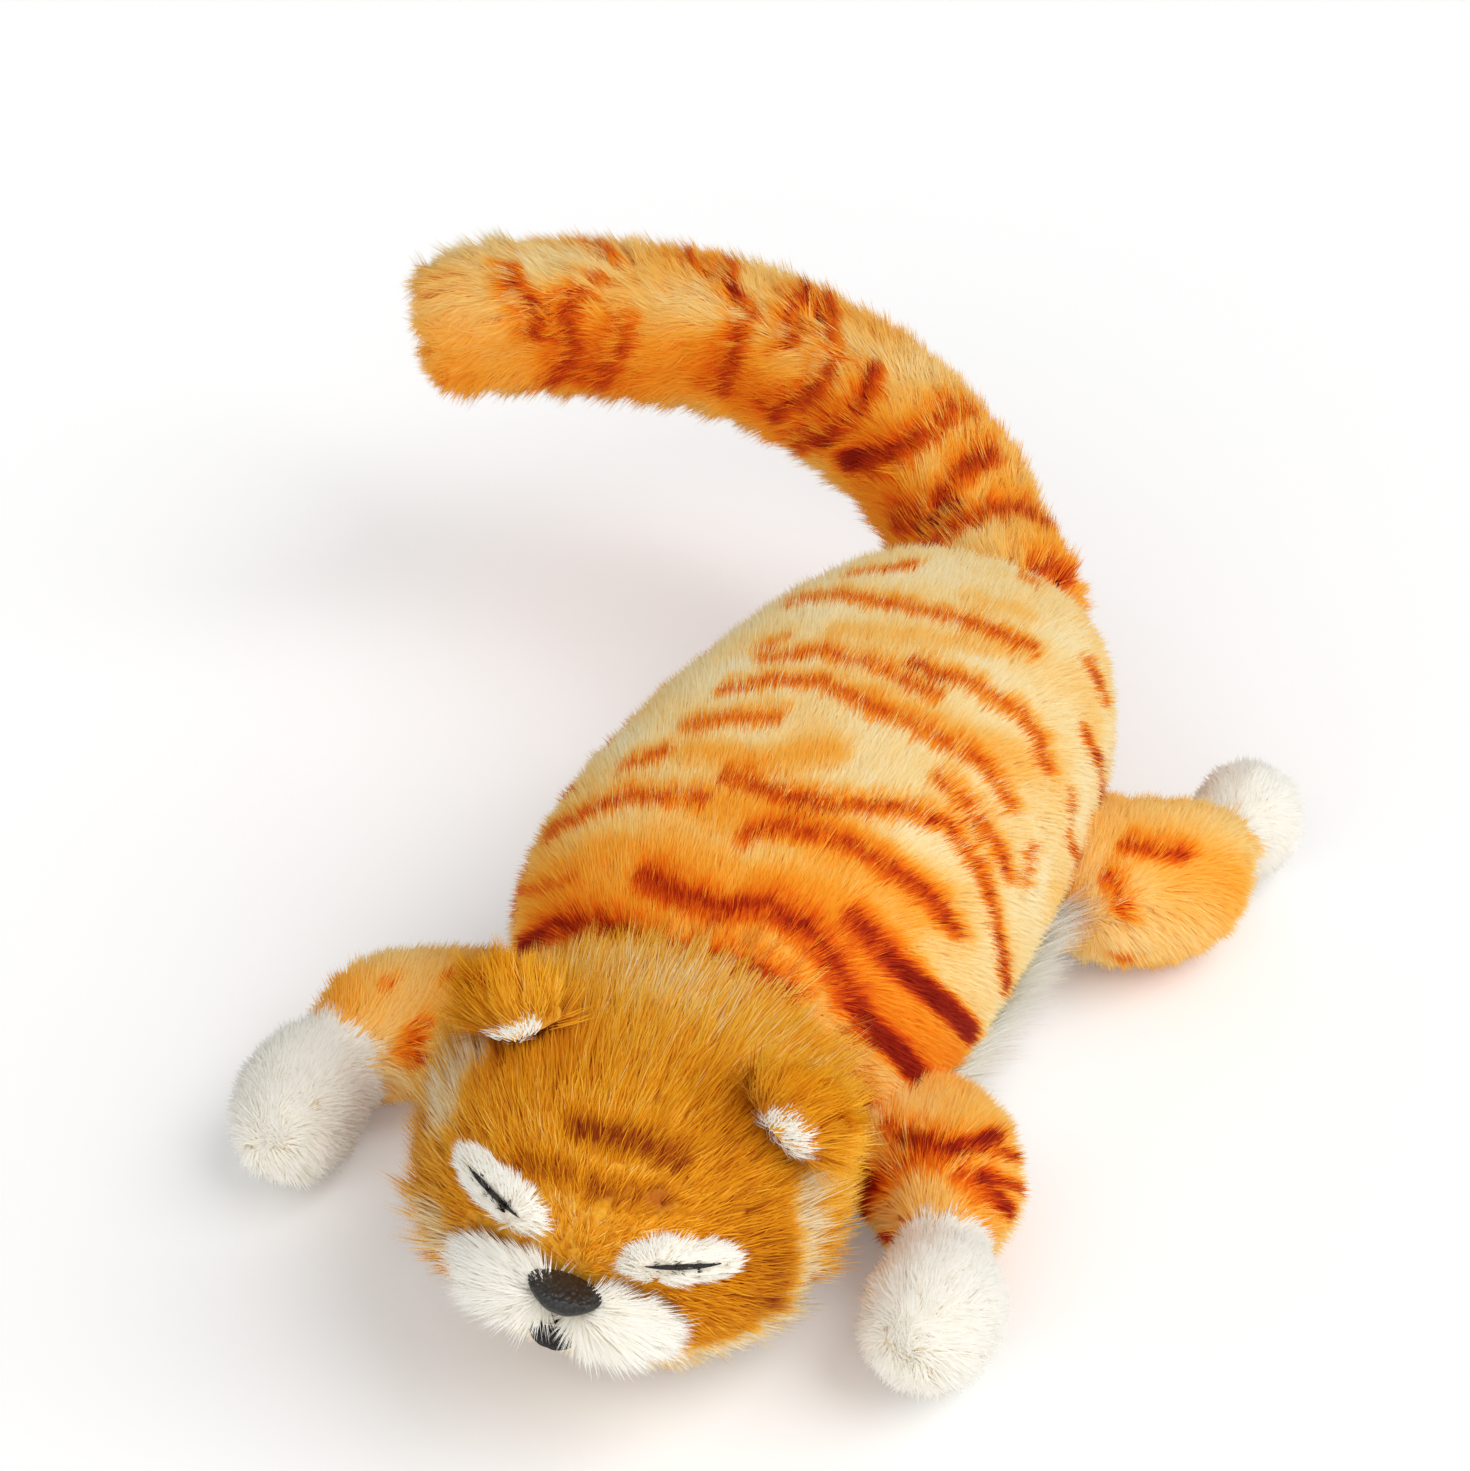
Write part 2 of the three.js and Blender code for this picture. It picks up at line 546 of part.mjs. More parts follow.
// An ear stands out from the top of the head and leans back, with a white lining on its front.
for (const [side, sign] of [["left", 1], ["right", -1]]) {
  const across = sign * (HEAD_WIDTH / 2 - EAR_INSET);
  const depth = HEAD_LENGTH / 2 - EAR_BACK;
  const left = 1 - (Math.abs(across) / (HEAD_WIDTH / 2)) ** 2 - (depth / (HEAD_LENGTH / 2)) ** 2;
  const rise = Math.sqrt(left) * HEAD_HEIGHT / 2;
  const root = headMiddle.clone()
    .addScaledVector(headForward, depth)
    .addScaledVector(headSide, across)
    .addScaledVector(headUp, rise);
  const out = new THREE.Vector3()
    .addScaledVector(headSide, across / (HEAD_WIDTH / 2) ** 2)
    .addScaledVector(headForward, depth / (HEAD_LENGTH / 2) ** 2)
    .addScaledVector(headUp, rise / (HEAD_HEIGHT / 2) ** 2)
    .normalize();
  const ends = [-EAR_SUNK, (EAR_LENGTH - EAR_SUNK) / 2, EAR_LENGTH];
  const spine = ends.map((length) => root.clone().addScaledVector(out, length).toArray());
  const halves = ends.map(() => [EAR_WIDTH / 2, EAR_THICKNESS / 2]);
  const earForm = makeForm(spine, halves, EAR_BLUNTNESS, 2, 12, 8, headForward);
  const linings = ends.map(() => [EAR_LINING_WIDTH / 2, EAR_LINING_THICKNESS / 2]);
  const shift = headForward.clone().multiplyScalar(EAR_THICKNESS / 2);
  const liningEnds = [-EAR_SUNK, (EAR_LINING_LENGTH - EAR_SUNK) / 2, EAR_LINING_LENGTH];
  const liningSpine = liningEnds.map((length) => root.clone().addScaledVector(out, length).add(shift).toArray());
  const liningForm = makeForm(liningSpine, linings, EAR_BLUNTNESS, 2, 10, 6, headForward);
  const earSolid = stuffed(earForm).subtract(headSeat).subtract(torsoSeat);
  addPiece(head, `ear_${side}`, earSolid, AMBER_PLUSH);
  const lining = stuffed(liningForm).subtract(stuffed(earForm, SEAT_GAP)).subtract(headSeat);
  addPiece(head, `ear_lining_${side}`, lining, WHITE_PLUSH);
}

// Legs and paws

for (const [name, leg] of Object.entries(LEGS)) {
  const group = addGroup();
  const startY = name.startsWith("front") ? TORSO_FRONT_Y : rumpY;
  const placed = (spine) => spine.map(([x, y, z]) => [x, startY + y, z]);
  const legForm = makeForm(placed(leg.spine), leg.girth, LIMB_BLUNTNESS, 2, 12, 10);
  const pawForm = makeForm(placed(leg.pawSpine), leg.pawGirth, LIMB_BLUNTNESS, 2, 12, 8);
  const clear = (solid) => solid.subtract(belowFloor).subtract(torsoSeat);
  addPiece(group, `${name}_leg`, clear(stuffed(legForm)), STRIPED_PLUSH);
  addPiece(group, `${name}_paw`, clear(stuffed(pawForm)).subtract(stuffed(legForm, SEAT_GAP)), WHITE_PLUSH);
}

// Tail: a plush tube on a stiff core, carried by a hub on the driven shaft

const tail = addGroup();
const tailBend = TAIL_BEND.map((step) => new THREE.Vector3(...step));
const tailStart = tailBend[0].clone().negate().setLength(TAIL_ROOT);
const tailSpine = [tailStart, new THREE.Vector3(), ...tailBend].map((step) => step.add(tailPivot).toArray());
const tailForm = makeForm(
  tailSpine, tailSpine.map(() => [TAIL_RADIUS, TAIL_RADIUS]), TAIL_BLUNTNESS, 2, 12, 20,
  new THREE.Vector3(...TAIL_UP).normalize(),
);
const hubEnds = [tailPivot.y - TAIL_HUB_LENGTH / 2, tailPivot.y + TAIL_HUB_LENGTH / 2];
const shaftEnd = hubEnds[1] - TAIL_HUB_CAP;

// A round rod inside the tail, from its pivot to near its tip.
function coreRod(radius) {
  const length = tailForm.spine.getLength();
  const first = TAIL_ROOT / length;
  const last = 1 - TAIL_CORE_STOP / length;
  const steps = 16;
  const points = [];
  for (let i = 0; i <= steps; i++) {
    points.push(tailForm.spine.getPointAt(first + (last - first) * i / steps));
  }
  const circle = new THREE.Shape().absarc(0, 0, radius, 0, Math.PI * 2);
  const extrudePath = new THREE.CatmullRomCurve3(points);
  return solidOf(new THREE.ExtrudeGeometry(circle, { steps, curveSegments: 4, extrudePath }));
}

function hubRod(grow, reach) {
  const ends = [hubEnds[0] - grow - reach, hubEnds[1] + grow];
  return rodAlongY(TAIL_HUB_RADIUS + grow, 0, TAIL_AXIS_Z, ends);
}
const shaftBore = rodAlongY(TAIL_SHAFT_RADIUS + SEAT_GAP, 0, TAIL_AXIS_Z, [0, shaftEnd + SEAT_GAP], 12);
const coreSeat = coreRod(TAIL_CORE_RADIUS + SEAT_GAP);
const tailCover = stuffed(tailForm).subtract(hubRod(SEAT_GAP, REACH)).subtract(coreSeat);
addPiece(tail, "tail_plush", tailCover, STRIPED_PLUSH);
addPiece(tail, "tail_hub", hubRod(0, 0).subtract(shaftBore), BLACK_PLASTIC);
addPiece(tail, "tail_core", coreRod(TAIL_CORE_RADIUS).subtract(hubRod(SEAT_GAP, 0)), BLACK_PLASTIC);

// Gear train, stacked from the rear wall forward: output layer, second layer, first layer, plate

const layerStep = GEAR_WIDTH + GEAR_LAYER_GAP;
const layer = [3, 2, 1].map((count) => {
  const start = rearWallY - count * layerStep;
  return [start, start + GEAR_WIDTH];
});
const plateEnds = [layer[0][0] - GEAR_LAYER_GAP - PLATE_THICKNESS, layer[0][0] - GEAR_LAYER_GAP];
const stageDistance = GEAR_MODULE * (SMALL_TEETH + LARGE_TEETH) / 2;

function stageFrom([x, z], degrees) {
  const angle = THREE.MathUtils.degToRad(degrees);
  return [x + stageDistance * Math.cos(angle), z + stageDistance * Math.sin(angle)];
}
const outputAxis = [0, TAIL_AXIS_Z];
const secondAxis = stageFrom(outputAxis, SECOND_GEAR_DEGREES);
const firstAxis = stageFrom(secondAxis, FIRST_GEAR_DEGREES);
const motorAxis = stageFrom(firstAxis, MOTOR_DEGREES);

// A gear outline centred on the origin with one tooth pointing at an angle.
function gearOutline(teeth, toothAngle) {
  const pitchRadius = GEAR_MODULE * teeth / 2;
  const tipRadius = pitchRadius + TOOTH_ADDENDUM * GEAR_MODULE;
  const rootRadius = pitchRadius - TOOTH_DEDENDUM * GEAR_MODULE;
  const pitch = 2 * Math.PI / teeth;
  const half = pitch * TOOTH_SHARE / 2;
  const root = TOOTH_ROOT_SPREAD * half;
  const tip = TOOTH_TIP_SPREAD * half;
  const corners = [[rootRadius, -root], [tipRadius, -tip], [tipRadius, tip], [rootRadius, root]];
  const points = [];
  for (let tooth = 0; tooth < teeth; tooth++) {
    for (const [radius, turn] of corners) {
      const angle = toothAngle + tooth * pitch + turn;
      points.push(new THREE.Vector2(radius * Math.cos(angle), radius * Math.sin(angle)));
    }
  }
  return new THREE.Shape(points);
}

const angleTo = ([x0, z0], [x1, z1]) => Math.atan2(z1 - z0, x1 - x0);
const gapToward = (angle) => angle + Math.PI / LARGE_TEETH;
function gear(teeth, toothAngle, [y0, y1]) {
  return slabAlongY(gearOutline(teeth, toothAngle), [y0, y1]);
}

function compoundGear(axis, driver, driven, largeLayer, smallLayer) {
  const large = gear(LARGE_TEETH, gapToward(angleTo(axis, driver)), largeLayer);
  const small = gear(SMALL_TEETH, angleTo(axis, driven), [largeLayer[0] + GEAR_LAYER_GAP, smallLayer[1]]);
  return large.add(small).subtract(rodAlongY(AXLE_RADIUS + RUN_GAP, 0, 0, [0, REACH]));
}

const motorGear = addGroup();
const firstGear = addGroup();
const secondGear = addGroup();
const onAxis = ([x, z]) => [x, 0, z];
const motorFaceY = plateEnds[0] - SEAT_GAP;
const pinion = gear(SMALL_TEETH, angleTo(motorAxis, firstAxis), layer[0])
  .add(rodAlongY(MOTOR_SHAFT_RADIUS, 0, 0, [motorFaceY - MOTOR_SHAFT_DEPTH + SEAT_GAP, layer[0][1]], 10));
addPiece(motorGear, "motor_pinion", pinion, BRASS, onAxis(motorAxis));
addPiece(firstGear, "first_gear", compoundGear(firstAxis, motorAxis, secondAxis, layer[0], layer[1]),
  GEAR_PLASTIC, onAxis(firstAxis));
addPiece(secondGear, "second_gear", compoundGear(secondAxis, firstAxis, outputAxis, layer[1], layer[2]),
  GEAR_PLASTIC, onAxis(secondAxis));
const outputGear = gear(LARGE_TEETH, gapToward(angleTo(outputAxis, secondAxis)), layer[2])
  .subtract(rodAlongY(TAIL_SHAFT_RADIUS + SEAT_GAP, 0, 0, [0, REACH]));
addPiece(tail, "output_gear", outputGear, GEAR_PLASTIC, onAxis(outputAxis));
addPiece(tail, "tail_shaft", rodAlongY(TAIL_SHAFT_RADIUS, 0, TAIL_AXIS_Z, [plateEnds[0], shaftEnd]), STEEL);
const bush = rodAlongY(bushRadius, 0, TAIL_AXIS_Z, bushEnds)
  .subtract(rodAlongY(TAIL_SHAFT_RADIUS + RUN_GAP, 0, TAIL_AXIS_Z, [0, REACH]));
addPiece(torso, "tail_bush", bush, BRASS);
for (const [name, [x, z]] of [["first_axle", firstAxis], ["second_axle", secondAxis]]) {
  addPiece(torso, name, rodAlongY(AXLE_RADIUS, x, z, [plateEnds[0], rearWallY - SEAT_GAP], 12), STEEL);
}

// The plate stands across the housing above the batteries and carries the axles and the motor.
const innerCorner = HOUSING_CORNER - HOUSING_WALL;
const cellOverCorner = Math.max(0, CELL_LENGTH / 2 - (HOUSING_WIDTH / 2 - HOUSING_CORNER));
const cornerRise = innerCorner - Math.sqrt(innerCorner ** 2 - cellOverCorner ** 2);
const cellZ = floorZ + cornerRise + 2 * SEAT_GAP + CELL_RADIUS;
const cellTopZ = cellZ + CELL_RADIUS;
const plateInside = HOUSING_WALL + SEAT_GAP;
const plateOutline = roundedRectangle(
  [housingSides[0] + plateInside, housingSides[1] - plateInside],
  [HOUSING_BOTTOM_Z + plateInside, housingTopZ - plateInside],
  HOUSING_CORNER - plateInside,
);
const gearPlate = slabAlongY(plateOutline, plateEnds)
  .subtract(box([-REACH, REACH], [-REACH, REACH], [-REACH, cellTopZ + SEAT_GAP]))
  .subtract(rodAlongY(AXLE_RADIUS + SEAT_GAP, ...firstAxis, [0, REACH], 12))
  .subtract(rodAlongY(AXLE_RADIUS + SEAT_GAP, ...secondAxis, [0, REACH], 12))
  .subtract(rodAlongY(TAIL_SHAFT_RADIUS + RUN_GAP, ...outputAxis, [0, REACH]))
  .subtract(rodAlongY(MOTOR_SHAFT_RADIUS + RUN_GAP, ...motorAxis, [0, REACH], 10));
addPiece(torso, "gear_plate", gearPlate, HOUSING_PLASTIC);

const [motorX, motorZ] = motorAxis;
const motorOutline = roundedRectangle(
  [motorX - MOTOR_WIDTH / 2, motorX + MOTOR_WIDTH / 2],
  [motorZ - MOTOR_HEIGHT / 2, motorZ + MOTOR_HEIGHT / 2],
  MOTOR_CORNER,
);
const motorBore = [motorFaceY - MOTOR_SHAFT_DEPTH, REACH];
const motor = slabAlongY(motorOutline, [motorFaceY - MOTOR_LENGTH, motorFaceY])
  .subtract(rodAlongY(MOTOR_SHAFT_RADIUS + RUN_GAP, motorX, motorZ, motorBore, 10));
addPiece(torso, "motor", motor, STEEL);

// Batteries, their contacts and the bay that holds them

const cellEnd = CELL_LENGTH / 2;
const cellPlaces = [];
for (let i = 0; i < CELL_COUNT; i++) {
  cellPlaces.push(CELL_LAST_Y - (CELL_COUNT - 1 - i) * CELL_PITCH);
}
const bayFrontY = cellPlaces[0] - CELL_RADIUS - SEAT_GAP;
const bayRearY = cellPlaces[CELL_COUNT - 1] + CELL_RADIUS + SEAT_GAP;
cellPlaces.forEach((y, i) => {
  const flip = i % 2 === 0 ? 1 : -1;
  const can = rodAlongX(CELL_RADIUS, y, cellZ, [-cellEnd, cellEnd - CELL_NUB_LENGTH], 20);
  const nub = rodAlongX(CELL_NUB_RADIUS, y, cellZ, [0, cellEnd], 10);
  const cell = can.add(nub);
  const turned = flip > 0 ? cell : cell.mirror([1, 0, 0]);
  addPiece(torso, `battery_${i + 1}`, turned, CELL_WRAP);
});
const contactInner = cellEnd + SEAT_GAP;
const bayInner = contactInner + CONTACT_THICKNESS + SEAT_GAP;
for (const [side, sign] of [["left", 1], ["right", -1]]) {
  const across = [sign * contactInner, sign * (contactInner + CONTACT_THICKNESS)].sort((a, b) => a - b);
  const upright = [cellZ - CONTACT_HEIGHT / 2, cellZ + CONTACT_HEIGHT / 2];
  const contact = box(across, [bayFrontY, bayRearY], upright);
  addPiece(torso, `battery_contact_${side}`, contact, STEEL);
}

const doorEnds = [bayFrontY - DOOR_MARGIN, bayRearY];
const doorScrewY = bayFrontY - DOOR_MARGIN / 2;
const doorHole = box([-bayInner, bayInner], doorEnds, [-REACH, cellZ]);
const doorBlock = box(
  [-bayInner + SEAT_GAP, bayInner - SEAT_GAP],
  [doorEnds[0] + SEAT_GAP, doorEnds[1] - SEAT_GAP],
  [-REACH, cellZ],
);
const doorScrewHeadZ = HOUSING_BOTTOM_Z + DOOR_SCREW_HEAD_HEIGHT;
const doorScrewTopZ = HOUSING_BOTTOM_Z + DOOR_SCREW_LENGTH;
const doorScrew = rodAlongZ(SCREW_HEAD_RADIUS, 0, doorScrewY, [HOUSING_BOTTOM_Z, doorScrewHeadZ], 12)
  .add(rodAlongZ(SCREW_RADIUS, 0, doorScrewY, [HOUSING_BOTTOM_Z, doorScrewTopZ], 10));
const doorScrewHole = rodAlongZ(SCREW_RADIUS + SEAT_GAP, 0, doorScrewY, [0, doorScrewTopZ + SEAT_GAP], 10)
  .add(rodAlongZ(SCREW_HEAD_RADIUS + SEAT_GAP, 0, doorScrewY, [0, doorScrewHeadZ + SEAT_GAP], 12));
addPiece(torso, "battery_door", housingShell.intersect(doorBlock).subtract(doorScrewHole), HOUSING_PLASTIC);
addPiece(torso, "battery_door_screw", doorScrew, STEEL);

const bayTopZ = floorZ + BAY_HEIGHT;
const baySide = (sign) => box(
  [sign * bayInner, sign * (bayInner + BAY_WALL)].sort((a, b) => a - b),
  [bayFrontY - BAY_WALL, bayRearY],
  [HOUSING_BOTTOM_Z, bayTopZ],
).intersect(housingOuter);
const aboveDoor = housingBlock(-HOUSING_WALL - SEAT_GAP);
const bayCross = box(
  [-bayInner - BAY_WALL, bayInner + BAY_WALL],
  [bayFrontY - BAY_WALL, bayFrontY],
  [HOUSING_BOTTOM_Z, bayTopZ],
).intersect(aboveDoor);
const doorPost = box(
  [-SCREW_POST_RADIUS, SCREW_POST_RADIUS],
  [doorScrewY - SCREW_POST_RADIUS / 2, bayFrontY],
  [floorZ + SEAT_GAP, doorScrewTopZ + DOOR_POST_COVER],
);

// Housing halves, held together by four screws driven from below

const screwSeatZ = HOUSING_SPLIT_Z - SCREW_SEAT;
const postEnds = [HOUSING_SPLIT_Z - SCREW_POST_HEIGHT, HOUSING_SPLIT_Z + SCREW_POST_HEIGHT];
let lowerBlock = housingShell.add(baySide(1)).add(baySide(-1)).add(bayCross).add(doorPost);
let upperBlock = housingShell;
let screwCuts = doorHole.subtract(bayCross).subtract(doorPost).add(doorScrewHole);
let screwNumber = 0;
for (const y of SCREW_ROWS_Y) {
  for (const x of [housingSides[0] + SCREW_INSET, housingSides[1] - SCREW_INSET]) {
    const post = rodAlongZ(SCREW_POST_RADIUS, x, y, postEnds, 8).intersect(housingOuter);
    lowerBlock = lowerBlock.add(post);
    upperBlock = upperBlock.add(post);
    const holeTopZ = screwSeatZ + SCREW_LENGTH + SEAT_GAP;
    screwCuts = screwCuts
      .add(rodAlongZ(SCREW_HEAD_RADIUS + RUN_GAP, x, y, [0, screwSeatZ], 12))
      .add(rodAlongZ(SCREW_RADIUS + SEAT_GAP, x, y, [0, holeTopZ], 10));
    const headZ = screwSeatZ - SEAT_GAP;
    const screw = rodAlongZ(SCREW_HEAD_RADIUS, x, y, [headZ - SCREW_HEAD_HEIGHT, headZ], 12)
      .add(rodAlongZ(SCREW_RADIUS, x, y, [headZ - SCREW_HEAD_HEIGHT, screwSeatZ + SCREW_LENGTH], 10));
    screwNumber += 1;
    addPiece(torso, `housing_screw_${screwNumber}`, screw, STEEL);
  }
}

const speakerZ = HOUSING_SPLIT_Z;
const frontWallY = HOUSING_FRONT_Y + HOUSING_WALL;
const speakerPort = rodAlongY(SPEAKER_PORT_RADIUS, 0, speakerZ, [-REACH, frontWallY + SEAT_GAP], 20);
const slotHalf = (SWITCH_TRAVEL + SWITCH_KNOB) / 2 + RUN_GAP;
const switchSlot = box(
  [-slotHalf, slotHalf],
  [SWITCH_Y - SWITCH_KNOB / 2 - RUN_GAP, SWITCH_Y + SWITCH_KNOB / 2 + RUN_GAP],
  [0, floorZ + HOUSING_WALL],
);
const buttonHole = rodAlongZ(BUTTON_RADIUS + RUN_GAP, 0, BUTTON_Y, [HOUSING_SPLIT_Z, REACH]);
const bushHole = rodAlongY(bushRadius + SEAT_GAP, 0, TAIL_AXIS_Z, [rearWallY - HOUSING_WALL, REACH]);
const lowerHousing = belowSplit(lowerBlock.subtract(screwCuts).subtract(speakerPort).subtract(switchSlot));
const upperHousing = aboveSplit(
  upperBlock.subtract(screwCuts).subtract(speakerPort).subtract(buttonHole).subtract(bushHole),
);
addPiece(torso, "housing_lower", lowerHousing, HOUSING_PLASTIC);
addPiece(torso, "housing_upper", upperHousing, HOUSING_PLASTIC);

// Sound and controls

const speakerFaceY = frontWallY + SEAT_GAP;
const magnetEnds = [speakerFaceY, speakerFaceY + SPEAKER_MAGNET_DEPTH];
const speaker = rodAlongY(SPEAKER_RADIUS, 0, speakerZ, [speakerFaceY, speakerFaceY + SPEAKER_RIM_DEPTH], 24)
  .add(rodAlongY(SPEAKER_MAGNET_RADIUS, 0, speakerZ, magnetEnds));
addPiece(torso, "speaker", speaker, BLACK_PLASTIC);

const boardSide = HOUSING_WIDTH / 2 - HOUSING_WALL - SEAT_GAP;
const boardTopZ = BOARD_Z + BOARD_THICKNESS;
addPiece(torso, "circuit_board", box([-boardSide, boardSide], [BOARD_FRONT_Y, BOARD_FRONT_Y + BOARD_LENGTH],
  [BOARD_Z, boardTopZ]), BOARD_GREEN);

const button = addGroup();
const flangeTopZ = ceilingZ - SEAT_GAP;
const flangeZ = [flangeTopZ - BUTTON_FLANGE_THICKNESS, flangeTopZ];
const stemBottomZ = flangeZ[0] - BUTTON_STEM;
const patButton = rodAlongZ(BUTTON_RADIUS, 0, BUTTON_Y, [stemBottomZ, buttonTopZ])
  .add(rodAlongZ(BUTTON_RADIUS + BUTTON_FLANGE, 0, BUTTON_Y, flangeZ));
addPiece(button, "pat_button", patButton, BLACK_PLASTIC);
const pushHalf = PUSH_SWITCH_SIZE / 2;
addPiece(torso, "push_switch", box([-pushHalf, pushHalf], [BUTTON_Y - pushHalf, BUTTON_Y + pushHalf],
  [boardTopZ + SEAT_GAP, stemBottomZ - BUTTON_TRAVEL - SEAT_GAP]), BLACK_PLASTIC);

const slider = addGroup();
const plateCentreX = -SWITCH_TRAVEL / 2;
const sliderPlateZ = [floorZ + SEAT_GAP, floorZ + SEAT_GAP + SWITCH_PLATE_THICKNESS];
const knob = box(
  [plateCentreX - SWITCH_KNOB / 2, plateCentreX + SWITCH_KNOB / 2],
  [SWITCH_Y - SWITCH_KNOB / 2, SWITCH_Y + SWITCH_KNOB / 2],
  [HOUSING_BOTTOM_Z, sliderPlateZ[1]],
);
const sliderPlate = box(
  [plateCentreX - SWITCH_PLATE / 2, plateCentreX + SWITCH_PLATE / 2],
  [SWITCH_Y - SWITCH_PLATE_WIDTH / 2, SWITCH_Y + SWITCH_PLATE_WIDTH / 2],
  sliderPlateZ,
);
addPiece(slider, "switch_slider", knob.add(sliderPlate), BLACK_PLASTIC);
const channelHalf = (SWITCH_PLATE + SWITCH_TRAVEL) / 2 + RUN_GAP;
const channelTopZ = sliderPlateZ[1] + SEAT_GAP;
const switchHalf = SWITCH_PLATE_WIDTH / 2 + RUN_GAP;
const switchBody = box(
  [-channelHalf - SWITCH_BODY_WALL, channelHalf + SWITCH_BODY_WALL],
  [SWITCH_Y - switchHalf, SWITCH_Y + switchHalf],
  [floorZ + SEAT_GAP, channelTopZ + SWITCH_BODY_TOP],
).subtract(box([-channelHalf, channelHalf], [-REACH, REACH], [0, channelTopZ]));
addPiece(torso, "power_switch", switchBody, STEEL);

export default cat;
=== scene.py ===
# %% [markdown]
# # A laughing plush cat
#
# The toy lies on its belly with its chin on the floor, its legs splayed and its stiff tail in the air.
# Its solids come packed from CAD and load here as a fixed frame. What solids can't give is the plush:
# round stuffed covers, many thousand blades of pile, stripes, and the sewn face. This lesson adds them
# one by one, and most of them ride on the body that carries them.

# %% Load the frame
import json
import math

import bmesh
import bpy
import numpy as np
from mathutils import Matrix, Vector
from mathutils.bvhtree import BVHTree
from mathutils.kdtree import KDTree


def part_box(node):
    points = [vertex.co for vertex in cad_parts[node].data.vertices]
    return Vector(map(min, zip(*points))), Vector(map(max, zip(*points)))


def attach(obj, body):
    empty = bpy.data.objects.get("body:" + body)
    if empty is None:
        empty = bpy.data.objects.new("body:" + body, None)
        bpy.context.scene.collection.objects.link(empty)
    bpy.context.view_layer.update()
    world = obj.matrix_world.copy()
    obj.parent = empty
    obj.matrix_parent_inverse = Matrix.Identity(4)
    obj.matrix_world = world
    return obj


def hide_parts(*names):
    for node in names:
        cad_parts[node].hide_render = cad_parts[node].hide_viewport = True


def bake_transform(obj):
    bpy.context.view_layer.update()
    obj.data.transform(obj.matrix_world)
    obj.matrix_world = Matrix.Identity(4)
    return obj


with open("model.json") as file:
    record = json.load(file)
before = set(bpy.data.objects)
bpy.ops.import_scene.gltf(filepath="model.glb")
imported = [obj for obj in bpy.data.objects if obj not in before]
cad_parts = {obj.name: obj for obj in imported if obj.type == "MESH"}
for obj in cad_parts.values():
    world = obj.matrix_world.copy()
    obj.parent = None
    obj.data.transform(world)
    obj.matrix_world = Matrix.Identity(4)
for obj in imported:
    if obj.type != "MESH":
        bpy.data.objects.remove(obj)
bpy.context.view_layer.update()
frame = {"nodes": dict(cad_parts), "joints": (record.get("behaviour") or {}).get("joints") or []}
scene = bpy.context.scene
scene.view_settings.view_transform = "Standard"
MM = 0.001

# %% [markdown]
# ## The camera
#
# The photograph looks down at the cat from its left front. A camera can be placed by eye, but one that is
# worked out from the picture can also be asked where a pixel lies on the cat, which the stripes need.
# Its turn, its height and its focal length are enough, with one point whose pixel is known: the middle
# of the head.

# %% The camera
PHOTO_SIZE = (1470, 1471)
FOCAL_PIXELS = 3300
TURN = math.radians(28.6)
HEIGHT = math.radians(36)
HEAD_MIDDLE = Vector((0.010, -0.113, 0.047))
HEAD_PIXEL = (628, 1160)
HEAD_DEPTH = 0.8

level = math.cos(HEIGHT)
view_back = Vector((math.sin(TURN) * level, -math.cos(TURN) * level, math.sin(HEIGHT)))
view_right = Vector((math.cos(TURN), math.sin(TURN), 0))
view_up = view_back.cross(view_right)


def pixel_ray(pixel):
    """The direction from the camera through a pixel of the photograph, one metre deep."""
    across = (pixel[0] - PHOTO_SIZE[0] / 2) / FOCAL_PIXELS
    above = (PHOTO_SIZE[1] / 2 - pixel[1]) / FOCAL_PIXELS
    return view_right * across + view_up * above - view_back


view_point = HEAD_MIDDLE - pixel_ray(HEAD_PIXEL) * HEAD_DEPTH
camera = bpy.data.objects.new("camera", bpy.data.cameras.new("camera"))
camera.data.sensor_fit = "HORIZONTAL"
camera.data.lens = camera.data.sensor_width * FOCAL_PIXELS / PHOTO_SIZE[0]
view_axes = Matrix((view_right, view_up, view_back)).transposed().to_4x4()
camera.matrix_world = Matrix.Translation(view_point) @ view_axes
scene.collection.objects.link(camera)
scene.camera = camera
print("camera at", [round(value, 3) for value in view_point], "lens", round(camera.data.lens, 1))

# %% [markdown]
# ## Colours and finishes
#
# Pile isn't one colour: each blade is a little lighter or darker than its neighbour, and painted shade
# makes it darker at its root. So a pile material reads two numbers that every blade carries in its own UV
# map: how far along a row of dye colours it lies, and how light it is, painted root shade included. A ramp
# turns the first into a colour and a second ramp shades it. The plain cover under the pile uses the same
# dyes a shade darker.

# %% Dyes and shader helpers
STRIPE_DYES = [(0.0, "#FFF8E2"), (0.15, "#FFEDB8"), (0.32, "#FFD276"), (0.48, "#FFB636"), (0.62, "#FA9412"),
               (0.76, "#EC6606"), (0.88, "#C43604"), (1.0, "#8A1404")]
AMBER_DYES = [(0.0, "#FFFCF4"), (0.12, "#FBEBC0"), (0.3, "#FFCC48"), (0.5, "#F0AA10"), (0.7, "#D68E0C"),
              (0.86, "#B25404"), (1.0, "#842C06")]
WHITE_DYES = [(0.0, "#FDFCF8"), (0.6, "#F6F3EA"), (1.0, "#C9B9A6")]
BLACK_DYES = [(0.0, "#15130F"), (0.6, "#2A2723"), (1.0, "#4A453E")]


def paint(code):
    """A colour as a paint program writes it, made linear for Blender's sockets."""
    parts = [int(code[at:at + 2], 16) / 255 for at in (1, 3, 5)]
    return [part / 12.92 if part <= 0.04045 else ((part + 0.055) / 1.055) ** 2.4 for part in parts] + [1]


